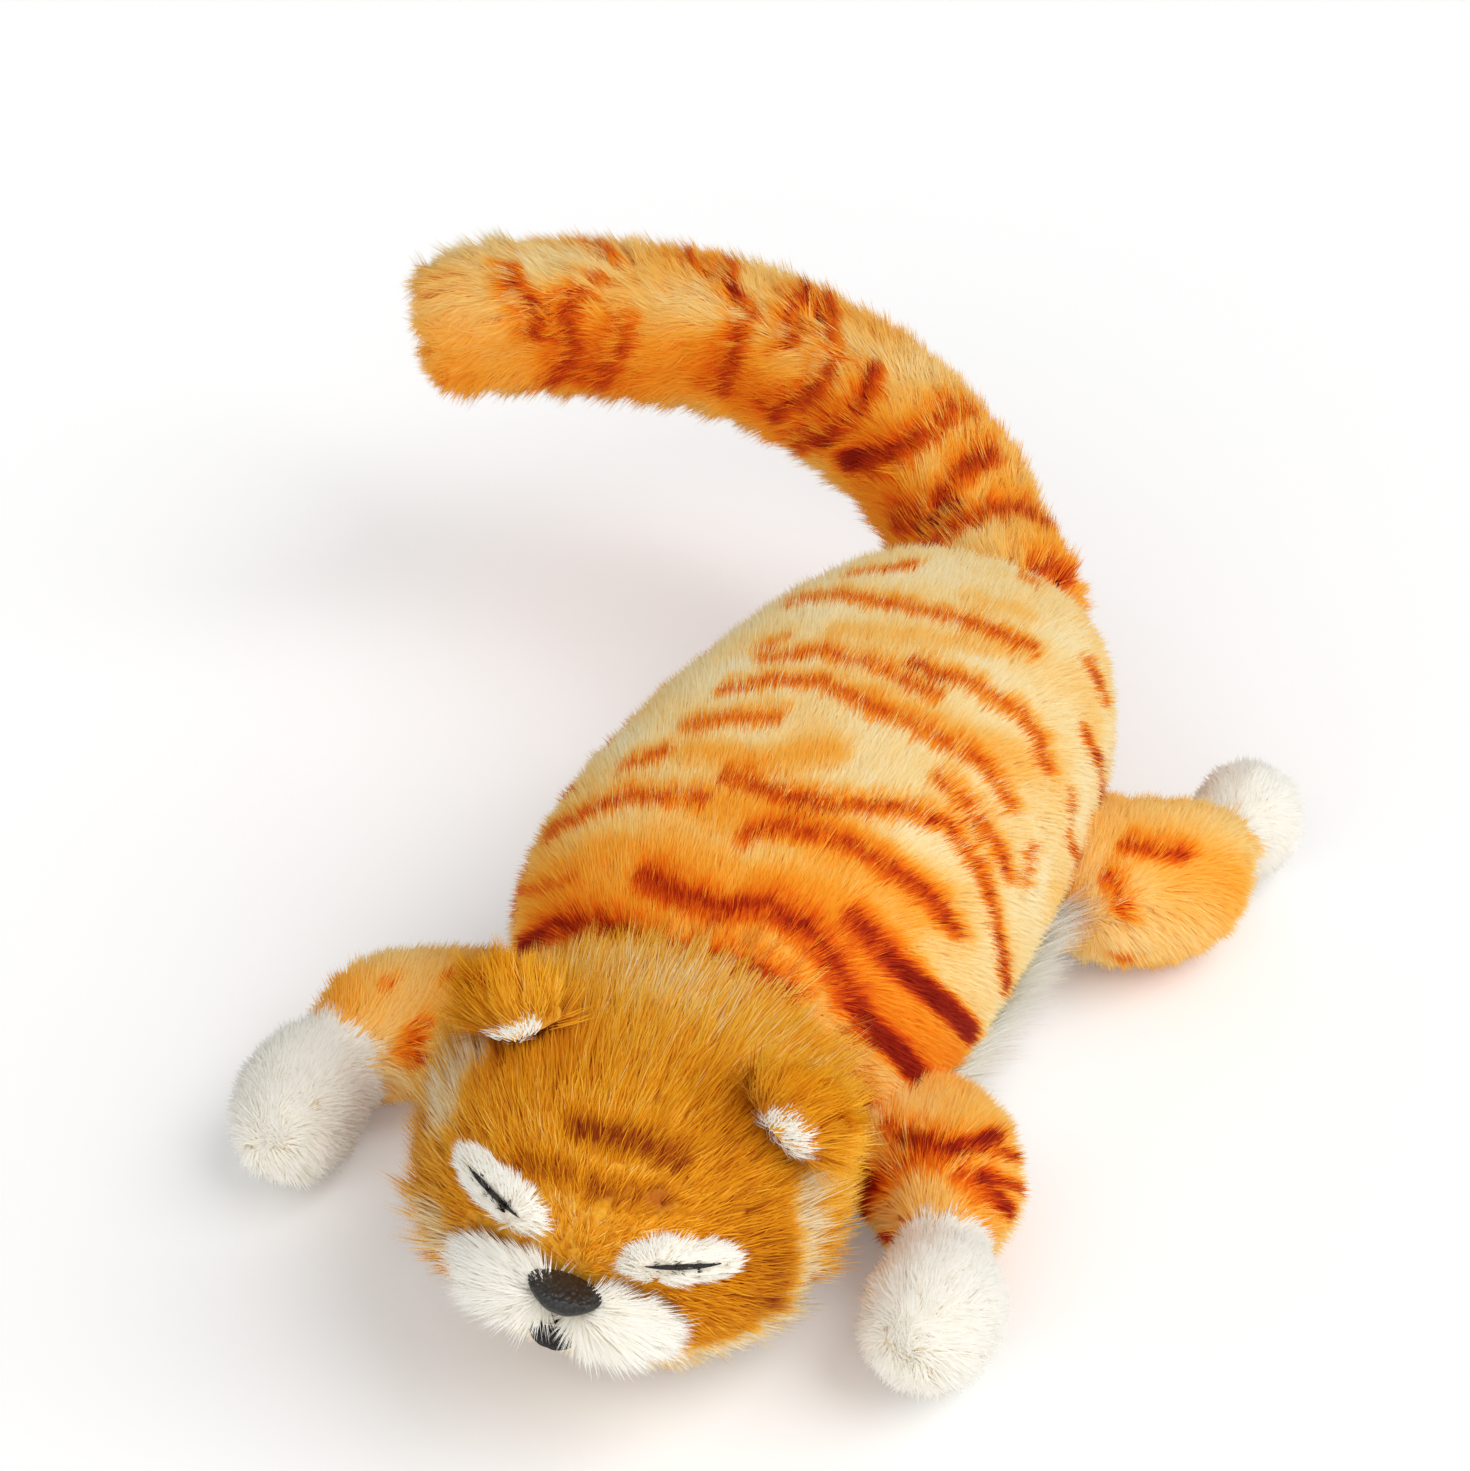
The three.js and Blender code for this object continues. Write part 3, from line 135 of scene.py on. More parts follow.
def new_finish(name, roughness):
    """A node material and what is needed to add to it."""
    finish = bpy.data.materials.new(name)
    finish.use_nodes = True
    shader = finish.node_tree.nodes["Principled BSDF"]
    shader.inputs["Roughness"].default_value = roughness
    return finish, finish.node_tree.nodes, finish.node_tree.links, shader


def dye_ramp(nodes, stops):
    """A colour ramp through the given stops."""
    ramp = nodes.new("ShaderNodeValToRGB")
    elements = ramp.color_ramp.elements
    while len(elements) < len(stops):
        elements.new(0.5)
    for element, (place, code) in zip(elements, stops):
        element.position = place
        element.color = paint(code)
    return ramp


def shaded(nodes, links, colour, shade):
    """The colour of one socket, darkened by the colour of another."""
    mix = nodes.new("ShaderNodeMix")
    mix.data_type = "RGBA"
    mix.blend_type = "MULTIPLY"
    mix.inputs["Factor"].default_value = 1
    links.new(colour, mix.inputs[6])
    links.new(shade, mix.inputs[7])
    return mix.outputs[2]


def raise_grain(nodes, links, shader, height, strength, distance):
    """Bumps a finish by the height that one socket gives."""
    bump = nodes.new("ShaderNodeBump")
    bump.inputs["Strength"].default_value = strength
    bump.inputs["Distance"].default_value = distance
    links.new(height, bump.inputs["Height"])
    links.new(bump.outputs["Normal"], shader.inputs["Normal"])
    return bump


print("dyes", len(STRIPE_DYES), len(AMBER_DYES), len(WHITE_DYES))

# %% Pile and cover finishes
# Painted shade: these ramps darken each blade towards its root, where the pile shades itself.
ROOT_PAINTED_SHADE = [(0.0, "#DCC2A0"), (0.4, "#F6ECDC"), (1.0, "#FFFFFF")]
PALE_ROOT_PAINTED_SHADE = [(0.0, "#E2DCD0"), (0.4, "#F6F3EC"), (1.0, "#FFFFFF")]
AMBER_ROOT_PAINTED_SHADE = [(0.0, "#B48C5C"), (0.45, "#E6CFA8"), (1.0, "#FFFFFF")]


def lit_from_front(nodes, links, shader, colour):
    """A blade is so thin that light on its front comes through to its back."""
    through = nodes.new("ShaderNodeBsdfTranslucent")
    links.new(colour, through.inputs["Color"])
    face = nodes.new("ShaderNodeNewGeometry")
    choose = nodes.new("ShaderNodeMixShader")
    links.new(face.outputs["Backfacing"], choose.inputs[0])
    links.new(shader.outputs[0], choose.inputs[1])
    links.new(through.outputs[0], choose.inputs[2])
    links.new(choose.outputs[0], nodes["Material Output"].inputs["Surface"])


def pile_finish(name, dyes, root_painted_shade=ROOT_PAINTED_SHADE):
    """The finish of pile: dye and a painted shade, darker at the root, come from each blade's own place on
    its UV map.
    """
    finish, nodes, links, shader = new_finish(name, 0.7)
    shader.inputs["Sheen Weight"].default_value = 0.04
    shader.inputs["Specular IOR Level"].default_value = 0.1
    strand = nodes.new("ShaderNodeUVMap")
    strand.uv_map = "OFBake"
    split = nodes.new("ShaderNodeSeparateXYZ")
    links.new(strand.outputs["UV"], split.inputs["Vector"])
    dye = dye_ramp(nodes, dyes)
    links.new(split.outputs["X"], dye.inputs["Fac"])
    shade = dye_ramp(nodes, root_painted_shade)
    links.new(split.outputs["Y"], shade.inputs["Fac"])
    colour = shaded(nodes, links, dye.outputs["Color"], shade.outputs["Color"])
    links.new(colour, shader.inputs["Base Color"])
    lit_from_front(nodes, links, shader, colour)
    return finish


def cover_finish(name, dyes):
    """The finish of the knitted ground that the pile stands on."""
    finish, nodes, links, shader = new_finish(name, 0.95)
    tone = nodes.new("ShaderNodeAttribute")
    tone.attribute_name = "tone"
    dye = dye_ramp(nodes, dyes)
    links.new(tone.outputs["Fac"], dye.inputs["Fac"])
    place = nodes.new("ShaderNodeTexCoord")
    knit = nodes.new("ShaderNodeTexNoise")
    knit.inputs["Scale"].default_value = 900
    links.new(place.outputs["Object"], knit.inputs["Vector"])
    shade = dye_ramp(nodes, [(0.3, "#D8CCBE"), (0.7, "#F8F2EA")])
    links.new(knit.outputs["Fac"], shade.inputs["Fac"])
    colour = shaded(nodes, links, dye.outputs["Color"], shade.outputs["Color"])
    links.new(colour, shader.inputs["Base Color"])
    raise_grain(nodes, links, shader, knit.outputs["Fac"], 0.4, 0.4 * MM)
    return finish


striped_pile = pile_finish("striped_pile", STRIPE_DYES)
amber_pile = pile_finish("amber_pile", AMBER_DYES, AMBER_ROOT_PAINTED_SHADE)
white_pile = pile_finish("white_pile", WHITE_DYES, PALE_ROOT_PAINTED_SHADE)
black_pile = pile_finish("black_pile", BLACK_DYES)
striped_ground = cover_finish("striped_ground", STRIPE_DYES)
amber_ground = cover_finish("amber_ground", AMBER_DYES)
white_ground = cover_finish("white_ground", WHITE_DYES)
print("plush finishes", len(bpy.data.materials))

# %% [markdown]
# ## Stuffed covers
#
# Each limb of the toy is a sewn cover stuffed with wadding. It could be modelled again from nothing, but
# the solids already have its place and its main form. So a cover starts as a copy of the solids, which a
# voxel remesh turns into one even skin. It is sunk by the height of the pile, so that the pile's tips end
# where the solid did, and Cloth with pressure then fills it as wadding does.

# %% Mesh helpers
MERGE_DISTANCE = 0.001 * MM


def object_from(name, shape):
    """A new object in the scene with this bmesh, which is used up."""
    mesh = bpy.data.meshes.new(name)
    shape.to_mesh(mesh)
    shape.free()
    piece = bpy.data.objects.new(name, mesh)
    scene.collection.objects.link(piece)
    return piece


def add_ball(shape, segments, rings, radius):
    """Adds a sphere to a bmesh. The operator's faces come in any order, so they are sorted."""
    verts = bmesh.ops.create_uvsphere(shape, u_segments=segments, v_segments=rings, radius=radius)["verts"]
    shape.verts.index_update()
    size = len(shape.verts)

    def by_corners(face):
        numbers = [vert.index for vert in face.verts]
        return (min(numbers) * size + max(numbers)) * 4 * size + sum(numbers)

    shape.faces.sort(key=by_corners)
    return verts


def joined_copy(name, nodes):
    """One new object with merged copies of some solids."""
    shape = bmesh.new()
    for node in nodes:
        shape.from_mesh(frame["nodes"][node].data)
    bmesh.ops.remove_doubles(shape, verts=shape.verts, dist=MERGE_DISTANCE)
    return object_from(name, shape)


def hull_copy(name, nodes):
    """One new object with the tight outer hull of some solids, for a form with no hollows."""
    shape = bmesh.new()
    for node in nodes:
        for vert in frame["nodes"][node].data.vertices:
            shape.verts.new(vert.co)
    bmesh.ops.remove_doubles(shape, verts=shape.verts, dist=MERGE_DISTANCE)
    hull = bmesh.ops.convex_hull(shape, input=shape.verts)
    inner = [part for part in hull["geom_interior"] if isinstance(part, bmesh.types.BMVert)]
    bmesh.ops.delete(shape, geom=inner, context="VERTS")
    return object_from(name, shape)


def settle(piece):
    """Applies all modifiers of a piece to its mesh."""
    bpy.context.view_layer.update()
    ready = piece.evaluated_get(bpy.context.evaluated_depsgraph_get())
    mesh = bpy.data.meshes.new_from_object(ready)
    piece.modifiers.clear()
    piece.data = mesh
    mesh.name = piece.name


def points_of(piece):
    """A mesh's points as rows of x, y and z."""
    values = np.empty(len(piece.data.vertices) * 3, np.float32)
    piece.data.vertices.foreach_get("co", values)
    return values.reshape(-1, 3).astype(float)


def place_points(piece, points):
    """Moves a mesh's points."""
    piece.data.vertices.foreach_set("co", points.astype(np.float32).ravel())
    piece.data.update()


def normals_of(piece):
    """The outward directions at a mesh's points."""
    values = np.empty(len(piece.data.vertices) * 3, np.float32)
    piece.data.vertex_normals.foreach_get("vector", values)
    return values.reshape(-1, 3).astype(float)


def smooth_step(value, low, high):
    """Goes softly from 0 at low to 1 at high."""
    share = np.clip((value - low) / (high - low), 0, 1)
    return share * share * (3 - 2 * share)


print("helpers ready")

# %% Distance to the solids
def surface_of(*nodes):
    """A search tree over the faces of some solids."""
    shape = bmesh.new()
    for node in nodes:
        shape.from_mesh(frame["nodes"][node].data)
    tree = BVHTree.FromBMesh(shape)
    shape.free()
    return tree


def gap_to(tree, points):
    """How far each point is from a surface, below zero inside it."""
    gaps = np.empty(len(points))
    for number, point in enumerate(points):
        near, normal, _, distance = tree.find_nearest(Vector(point))
        outside = (Vector(point) - near).dot(normal) >= 0
        gaps[number] = distance if outside else -distance
    return gaps


SURE_REACH = 25 * MM


def buried(tree, points, depth):
    """Which points lie deeper than this in a solid. Too far in, no side is sure, so none counts."""
    gaps = gap_to(tree, points)
    return (gaps < -depth) & (gaps > -SURE_REACH)


torso_surface = surface_of("torso_plush", "belly_panel", "belly_flap")
head_surface = surface_of("head_plush")
tail_surface = surface_of("tail_plush")
print("surfaces ready")

# %% Remesh, sink and stuff
VOXEL = 4.5 * MM
STUFFING_FRAMES = 20
STUFFING_PRESSURE = 4


def keep_outer_shell(piece):
    """Deletes every loose shell but the biggest, such as the hollow that a housing leaves."""
    shape = bmesh.new()
    shape.from_mesh(piece.data)
    left = set(shape.verts)
    shells = []
    while left:
        front = [left.pop()]
        shell = set(front)
        while front:
            found = {edge.other_vert(vert) for vert in front for edge in vert.link_edges} & left
            left -= found
            shell |= found
            front = list(found)
        shells.append(shell)
    outer = max(shells, key=len)
    bmesh.ops.delete(shape, geom=[vert for vert in shape.verts if vert not in outer], context="VERTS")
    shape.to_mesh(piece.data)
    shape.free()


def stuff(cover, reach):
    """Fills a cover by Cloth's pressure, and holds each point within reach of where it was."""
    before = points_of(cover)
    cloth = cover.modifiers.new("Stuffing", "CLOTH")
    cloth.settings.use_pressure = True
    cloth.settings.uniform_pressure_force = STUFFING_PRESSURE
    cloth.settings.effector_weights.gravity = 0
    for number in range(1, STUFFING_FRAMES + 1):
        scene.frame_set(number)
    settle(cover)
    scene.frame_set(1)
    moved = points_of(cover) - before
    far = np.linalg.norm(moved, axis=1, keepdims=True)
    place_points(cover, before + moved * np.minimum(1, reach / np.maximum(far, 1e-9)))


def stuffed_cover(name, nodes, depth, reach=1.5 * MM, voxel=VOXEL, shift=None, copy=joined_copy):
    """A rounded, stuffed copy of some solids, sunk below their surface by the depth of the pile."""
    cover = copy(name, nodes)
    remesh = cover.modifiers.new("Remesh", "REMESH")
    remesh.mode = "VOXEL"
    remesh.voxel_size = voxel
    soften = cover.modifiers.new("Soften", "SMOOTH")
    soften.iterations = 5
    settle(cover)
    keep_outer_shell(cover)
    points = points_of(cover)
    sunk = depth(points) if callable(depth) else np.full(len(points), depth)
    moved = points - normals_of(cover) * sunk[:, None]
    place_points(cover, moved if shift is None else moved + shift(points))
    stuff(cover, reach)
    refine = cover.modifiers.new("Refine", "SUBSURF")
    refine.levels = 1
    refine.render_levels = 1
    settle(cover)
    cover.data.shade_smooth()
    return cover


print("stuffing frames", STUFFING_FRAMES, "quick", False)

# %% [markdown]
# ## The torso's cover
#
# The torso is one long barrel, with a striped back and a white belly. Under the belly a flap hides the
# battery door, so the cover has an opening there, cut with a Boolean up to the housing's underside.

# %% The torso's cover
TORSO_PILE_DEPTH = 5.5 * MM
OPENING_MARGIN = 0.5 * MM
SOCKET_RADIUS = 23.5 * MM


def cut_out(cover, shape):
    """Cuts a shape out of a cover, and uses the shape up."""
    cutter = object_from("cut", shape)
    cut = cover.modifiers.new("Cut", "BOOLEAN")
    cut.operation = "DIFFERENCE"
    cut.object = cutter
    settle(cover)
    bpy.data.objects.remove(cutter)


torso_cover = stuffed_cover("torso_cover", ["torso_plush", "belly_panel"], TORSO_PILE_DEPTH, copy=hull_copy)
flap_low, flap_high = (Vector(corner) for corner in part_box("belly_flap"))
opening_size = flap_high - flap_low + Vector((2, 2, 0)) * OPENING_MARGIN
opening_size.z = 2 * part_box("housing_lower")[0][2] + OPENING_MARGIN
opening = bmesh.new()
bmesh.ops.create_cube(opening, size=1)
bmesh.ops.scale(opening, vec=opening_size, verts=opening.verts)
bmesh.ops.translate(opening, vec=((flap_low + flap_high) / 2).to_2d().to_3d(), verts=opening.verts)
cut_out(torso_cover, opening)
joint_places = {joint["child"]: Vector(joint["pos_m"]) for joint in frame["joints"] if "pos_m" in joint}
socket = bmesh.new()
add_ball(socket, 48, 24, SOCKET_RADIUS)
bmesh.ops.translate(socket, vec=joint_places["tail"], verts=socket.verts)
cut_out(torso_cover, socket)
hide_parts("torso_plush", "torso_padding", "belly_panel")
print("torso cover", len(torso_cover.data.polygons), "faces")

# %% [markdown]
# ## The limbs' covers
#
# A leg and its paw are sewn into one tube. The solids end on the torso's side, and a limb that lifts
# would open a gap there, so the end of the cover is drawn on into the torso, where it can stretch.

# %% The limbs' covers
LIMBS = ["front_left", "front_right", "hind_left", "hind_right"]
LIMB_PILE_DEPTH = 5 * MM
TUCKED_IN = 12 * MM


def tuck_into_torso(direction):
    """A shift that draws the points next to the torso on into it."""
    def shift(points):
        near = 1 - smooth_step(np.abs(gap_to(torso_surface, points)), 1 * MM, 12 * MM)
        return near[:, None] * np.array(direction) * TUCKED_IN
    return shift


limb_covers = {}
for limb in LIMBS:
    inward = -1 if limb.endswith("left") else 1
    cover = stuffed_cover(limb + "_cover", [limb + "_leg", limb + "_paw"], LIMB_PILE_DEPTH,
                          shift=tuck_into_torso((inward, 0, 0)))
    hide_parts(limb + "_leg", limb + "_paw")
    limb_covers[limb] = cover
print("limb covers", [len(cover.data.polygons) for cover in limb_covers.values()])

# %% [markdown]
# ## The head's cover
#
# The pile is short round the nose and grows longer away from it, so the cover is sunk little at the
# muzzle and deeper behind. Its rear is drawn into the torso like a limb's end, because the head nods.

# %% The head's cover
nose_low, nose_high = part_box("nose")
nose_middle = (np.array(nose_low) + np.array(nose_high)) / 2
HEAD_PILE_SHORT = 5 * MM
HEAD_PILE_LONG = 19 * MM


def head_pile_length(points):
    """Short pile round the nose, long pile away from it."""
    away = np.linalg.norm(points - nose_middle, axis=1)
    return HEAD_PILE_SHORT + (HEAD_PILE_LONG - HEAD_PILE_SHORT) * smooth_step(away, 18 * MM, 75 * MM)


def head_depth(points):
    """How far the head's cover lies below the solid."""
    return 0.3 * head_pile_length(points)


head_cover = stuffed_cover("head_cover", ["head_plush", "head_filling"], head_depth,
                           shift=tuck_into_torso((0, 1, 0)))
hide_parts("head_plush", "head_filling")
print("head cover", len(head_cover.data.polygons), "faces")

# %% The muzzle's and the ears' covers
FACE_VOXEL = 2.5 * MM
PATCH_VOXEL = 1.2 * MM
MUZZLE_PILE_DEPTH = 3 * MM
EAR_PILE_DEPTH = 1.5 * MM
small_covers = {}
for side in ("left", "right"):
    muzzle = stuffed_cover("muzzle_cover_" + side, ["muzzle_" + side], MUZZLE_PILE_DEPTH, 0.8 * MM,
                           FACE_VOXEL)
    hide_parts("muzzle_" + side)
    ear_nodes = ["ear_" + side, "ear_lining_" + side]
    ear = stuffed_cover("ear_cover_" + side, ear_nodes, EAR_PILE_DEPTH, 0.5 * MM, FACE_VOXEL)
    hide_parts("ear_" + side, "ear_lining_" + side)
    patch = stuffed_cover("eye_cover_" + side, ["eye_patch_" + side], 0, 0.3 * MM, PATCH_VOXEL)
    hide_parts("eye_patch_" + side)
    small_covers.update({"muzzle_" + side: muzzle, "ear_" + side: ear, "eye_" + side: patch})
print("small covers", [len(cover.data.polygons) for cover in small_covers.values()])

# %% [markdown]
# ## The tail's cover
#
# The tail is a bent, even tube with a blunt end. It turns as a whole, so its cover just rides on it.

# %% The tail's cover
TAIL_PILE_DEPTH = 5.5 * MM
ROOT_BALL = 22 * MM


def rooted_copy(name, nodes):
    """Merged copies of some solids and a ball at the tail's pivot, which closes the cover over the hub."""
    piece = joined_copy(name, nodes)
    shape = bmesh.new()
    shape.from_mesh(piece.data)
    ball = add_ball(shape, 32, 20, ROOT_BALL)
    bmesh.ops.translate(shape, vec=joint_places["tail"], verts=ball)
    shape.to_mesh(piece.data)
    shape.free()
    return piece


tail_nodes = ["tail_plush", "tail_core", "tail_hub"]
tail_cover = stuffed_cover("tail_cover", tail_nodes, TAIL_PILE_DEPTH, copy=rooted_copy)
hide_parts("tail_plush")
print("tail cover", len(tail_cover.data.polygons), "faces")

# %% [markdown]
# ## Stripes and painted crease shade
#
# The stripes are printed on the pile. They could be a painted picture, but a picture needs unwrapping and
# can't be used here. Instead each stripe is a line of a few pixels read from the photograph. Rays from
# the camera carry it onto the solid once, and from then on it is a line in space that any view can see.
# A few of the lines aren't print but painted shade: dark bands in the creases by the front leg and head.

# %% From pixels to lines on the cat
STEP_PIXELS = 4


def line_on(surface, pixels):
    """The points in space where a line of pixels falls on a surface."""
    line = []
    for first, last in zip(pixels, pixels[1:]):
        steps = max(1, round(math.dist(first, last) / STEP_PIXELS))
        for step in range(steps + 1):
            pixel = [a + (b - a) * step / steps for a, b in zip(first, last)]
            hit = surface.ray_cast(view_point, pixel_ray(pixel))[0]
            if hit is not None:
                line.append(np.array(hit))
    return line


def lines_on(surface, marks):
    """Marks of width, tone and pixels as lines on a surface, each with its width and tone."""
    return [(line_on(surface, pixels), width, tone) for width, tone, pixels in marks]


def is_seen(surface, point):
    """Whether the camera sees this point of a surface."""
    ray = Vector(point) - view_point
    hit, _, _, distance = surface.ray_cast(view_point, ray)
    return hit is not None and distance > ray.length - 4 * MM


def stripe_map(lines):
    """A search tree over the points of printed lines and lines of painted shade, with each point's half
    width and tone.
    """
    spots = [(point, half_width, tone) for line, half_width, tone in lines for point in line]
    tree = KDTree(len(spots))
    for number, (point, _, _) in enumerate(spots):
        tree.insert(Vector(point), number)
    tree.balance()
    return tree, np.array([spot[1] for spot in spots]), np.array([spot[2] for spot in spots])


def stripe_share(points, marks, core=0.62, edge=1.4):
    """How much of each point is stripe, and how dark that stripe is."""
    tree, half_widths, tones = marks
    found = [tree.find(Vector(point)) for point in points]
    spot = np.array([number for _, number, _ in found])
    away = np.array([distance for _, _, distance in found])
    return 1 - smooth_step(away / half_widths[spot], core, edge), tones[spot]


print("stripe helpers ready")

# %% The torso's stripes and painted crease shade
THIN, PLAIN, BROAD = 1.9 * MM, 2.7 * MM, 3.6 * MM
STRIPE_DEEPER = 0.13
TORSO_STRIPES_AND_CREASE_SHADE = [
    (PLAIN, 0.76, [(849, 566), (915, 556)]),
    (PLAIN, 0.80, [(788, 594), (834, 586), (910, 599), (977, 614), (1043, 642)]),
    (THIN, 0.76, [(1012, 553), (1043, 576)]),
    (THIN, 0.62, [(752, 640), (788, 627)]),
    (PLAIN, 0.80, [(762, 648), (818, 642), (874, 655), (941, 686)]),
    (PLAIN, 0.80, [(920, 655), (977, 676), (1022, 704), (1048, 734), (1056, 765)]),
    (PLAIN, 0.81, [(721, 681), (767, 671), (823, 673), (869, 696), (936, 727), (987, 755), (1020, 803)]),
    (PLAIN, 0.76, [(686, 716), (732, 709), (778, 709)]),
    (PLAIN, 0.76, [(619, 757), (665, 742)]),
    (PLAIN, 0.81, [(538, 831), (589, 798), (630, 788), (701, 788)]),
    (PLAIN, 0.84, [(727, 767), (778, 783), (844, 796), (910, 801), (956, 821), (987, 862), (1005, 918),
                   (1012, 979), (1017, 1010)]),
    (PLAIN, 0.84, [(747, 826), (788, 818), (849, 834), (905, 867), (946, 898), (966, 933)]),
    (PLAIN, 0.80, [(943, 770), (977, 801), (1002, 836), (1020, 877)]),
    (BROAD, 0.87, [(642, 867), (670, 885), (716, 903), (767, 900), (803, 923), (834, 954), (849, 984),
                   (874, 1030), (910, 1061), (931, 1091)]),
    (BROAD, 0.86, [(510, 949), (548, 923), (594, 923), (645, 943), (706, 954), (757, 969), (793, 994)]),
    (BROAD, 0.87, [(859, 913), (885, 943), (915, 974), (951, 1005), (987, 1046), (1002, 1071)]),
    # Painted shade, not print: the next two lines are dark bands in the creases between the torso, the
    # front leg and the head.
    (PLAIN, 0.90, [(852, 1110), (880, 1118), (905, 1128), (945, 1138), (985, 1138), (1003, 1130)]),
    (PLAIN, 0.92, [(848, 1097), (854, 1130), (858, 1172), (852, 1195)]),
    (PLAIN, 0.80, [(1096, 655), (1114, 699)]),
    (PLAIN, 0.80, [(1091, 727), (1107, 765), (1107, 816), (1104, 872)]),
    (THIN, 0.80, [(1081, 790), (1076, 836), (1086, 877)]),
    (THIN, 0.78, [(1043, 847), (1035, 887)]),
    (THIN, 0.66, [(489, 913), (507, 892), (568, 867)]),
]
GOLD_PATCHES = [
    (5 * MM, 0.36, [(975, 590), (1030, 608)]),
    (6 * MM, 0.36, [(840, 622), (930, 630), (1030, 640)]),
    (7 * MM, 0.36, [(880, 690), (960, 725), (1030, 760)]),
    (6 * MM, 0.46, [(690, 742), (760, 752), (830, 745)]),
    (8 * MM, 0.50, [(720, 800), (800, 820), (880, 850), (930, 900)]),
    (9 * MM, 0.48, [(590, 850), (660, 850), (720, 870)]),
    (9 * MM, 0.54, [(760, 880), (830, 900), (890, 950), (930, 1010)]),
    (8 * MM, 0.52, [(520, 905), (570, 890), (640, 910)]),
    (10 * MM, 0.58, [(520, 985), (600, 985), (740, 1010)]),
    (8 * MM, 0.60, [(890, 1000), (930, 1040), (970, 1090)]),
]
FLANK = 20 * MM
MIRROR = np.array([-1, 1, 1])


def torso_print(lines):
    """The torso's printed lines and painted crease shade in space, and their mirror images on the side that
    isn't seen.
    """
    printed = lines_on(torso_surface, lines)
    for line, width, tone in list(printed):
        mirrored = [point * MIRROR for point in line if point[0] > FLANK]
        printed.append(([point for point in mirrored if not is_seen(torso_surface, point)], width, tone))
    return stripe_map(printed)


torso_stripe_and_shade_marks = torso_print(TORSO_STRIPES_AND_CREASE_SHADE)
gold_marks = torso_print(GOLD_PATCHES)
print("torso stripe points", len(torso_stripe_and_shade_marks[1]), "patch points", len(gold_marks[1]))

# %% The tail's stripes
TAIL_STRIPES = [
    (PLAIN, 0.86, [(505, 262), (513, 285), (528, 308), (530, 335)]),
    (PLAIN, 0.86, [(592, 273), (566, 296), (559, 309), (569, 346), (552, 379), (539, 399)]),
    (THIN, 0.82, [(589, 236), (612, 253)]),
    (PLAIN, 0.84, [(622, 313), (612, 356), (596, 386), (582, 409)]),
    (THIN, 0.82, [(672, 236), (695, 263)]),
    (PLAIN, 0.86, [(725, 256), (728, 280), (745, 306), (732, 343), (712, 396)]),
    (PLAIN, 0.86, [(808, 273), (788, 306), (785, 339)]),
    (PLAIN, 0.90, [(821, 273), (824, 309), (831, 343), (818, 379), (765, 419)]),
    (PLAIN, 0.90, [(874, 359), (854, 406), (828, 432), (791, 445)]),
    (BROAD, 0.95, [(970, 398), (941, 411), (916, 433), (887, 449), (836, 463)]),
    (BROAD, 0.95, [(997, 446), (970, 458), (954, 474), (929, 503), (890, 519)]),
    (BROAD, 0.96, [(1050, 513), (1024, 506), (999, 503), (970, 513), (948, 524), (922, 545)]),
    (BROAD, 0.92, [(1037, 559), (1059, 562), (1082, 573), (1094, 589)]),
]
TAIL_PATH = np.array([(0, 126, 63), (-21, 147, 65), (-41, 163, 78), (-75, 175, 89), (-115, 179, 96),
                      (-160, 171, 96), (-198, 159, 92), (-216, 150, 87)]) * MM


def on_tail_path(points):
    """The nearest point of the tail's middle line to each point, and the line's direction there."""
    best = np.full(len(points), np.inf)
    nearest = np.zeros((len(points), 3))
    heading = np.zeros((len(points), 3))
    for start, stop in zip(TAIL_PATH, TAIL_PATH[1:]):
        span = stop - start
        along = np.clip((points - start) @ span / (span @ span), 0, 1)
        place = start + along[:, None] * span
        away = np.linalg.norm(points - place, axis=1)
        closer = away < best
        best = np.where(closer, away, best)
        nearest[closer] = place[closer]
        heading[closer] = span / np.linalg.norm(span)
    return nearest, heading


tail_stripes = lines_on(tail_surface, TAIL_STRIPES)
for line, width, tone in list(tail_stripes):
    far_side = 2 * on_tail_path(np.array(line))[0] - np.array(line)
    tail_stripes.append((list(far_side), width, tone))
tail_marks = stripe_map(tail_stripes)
print("tail stripes", len(tail_stripes))

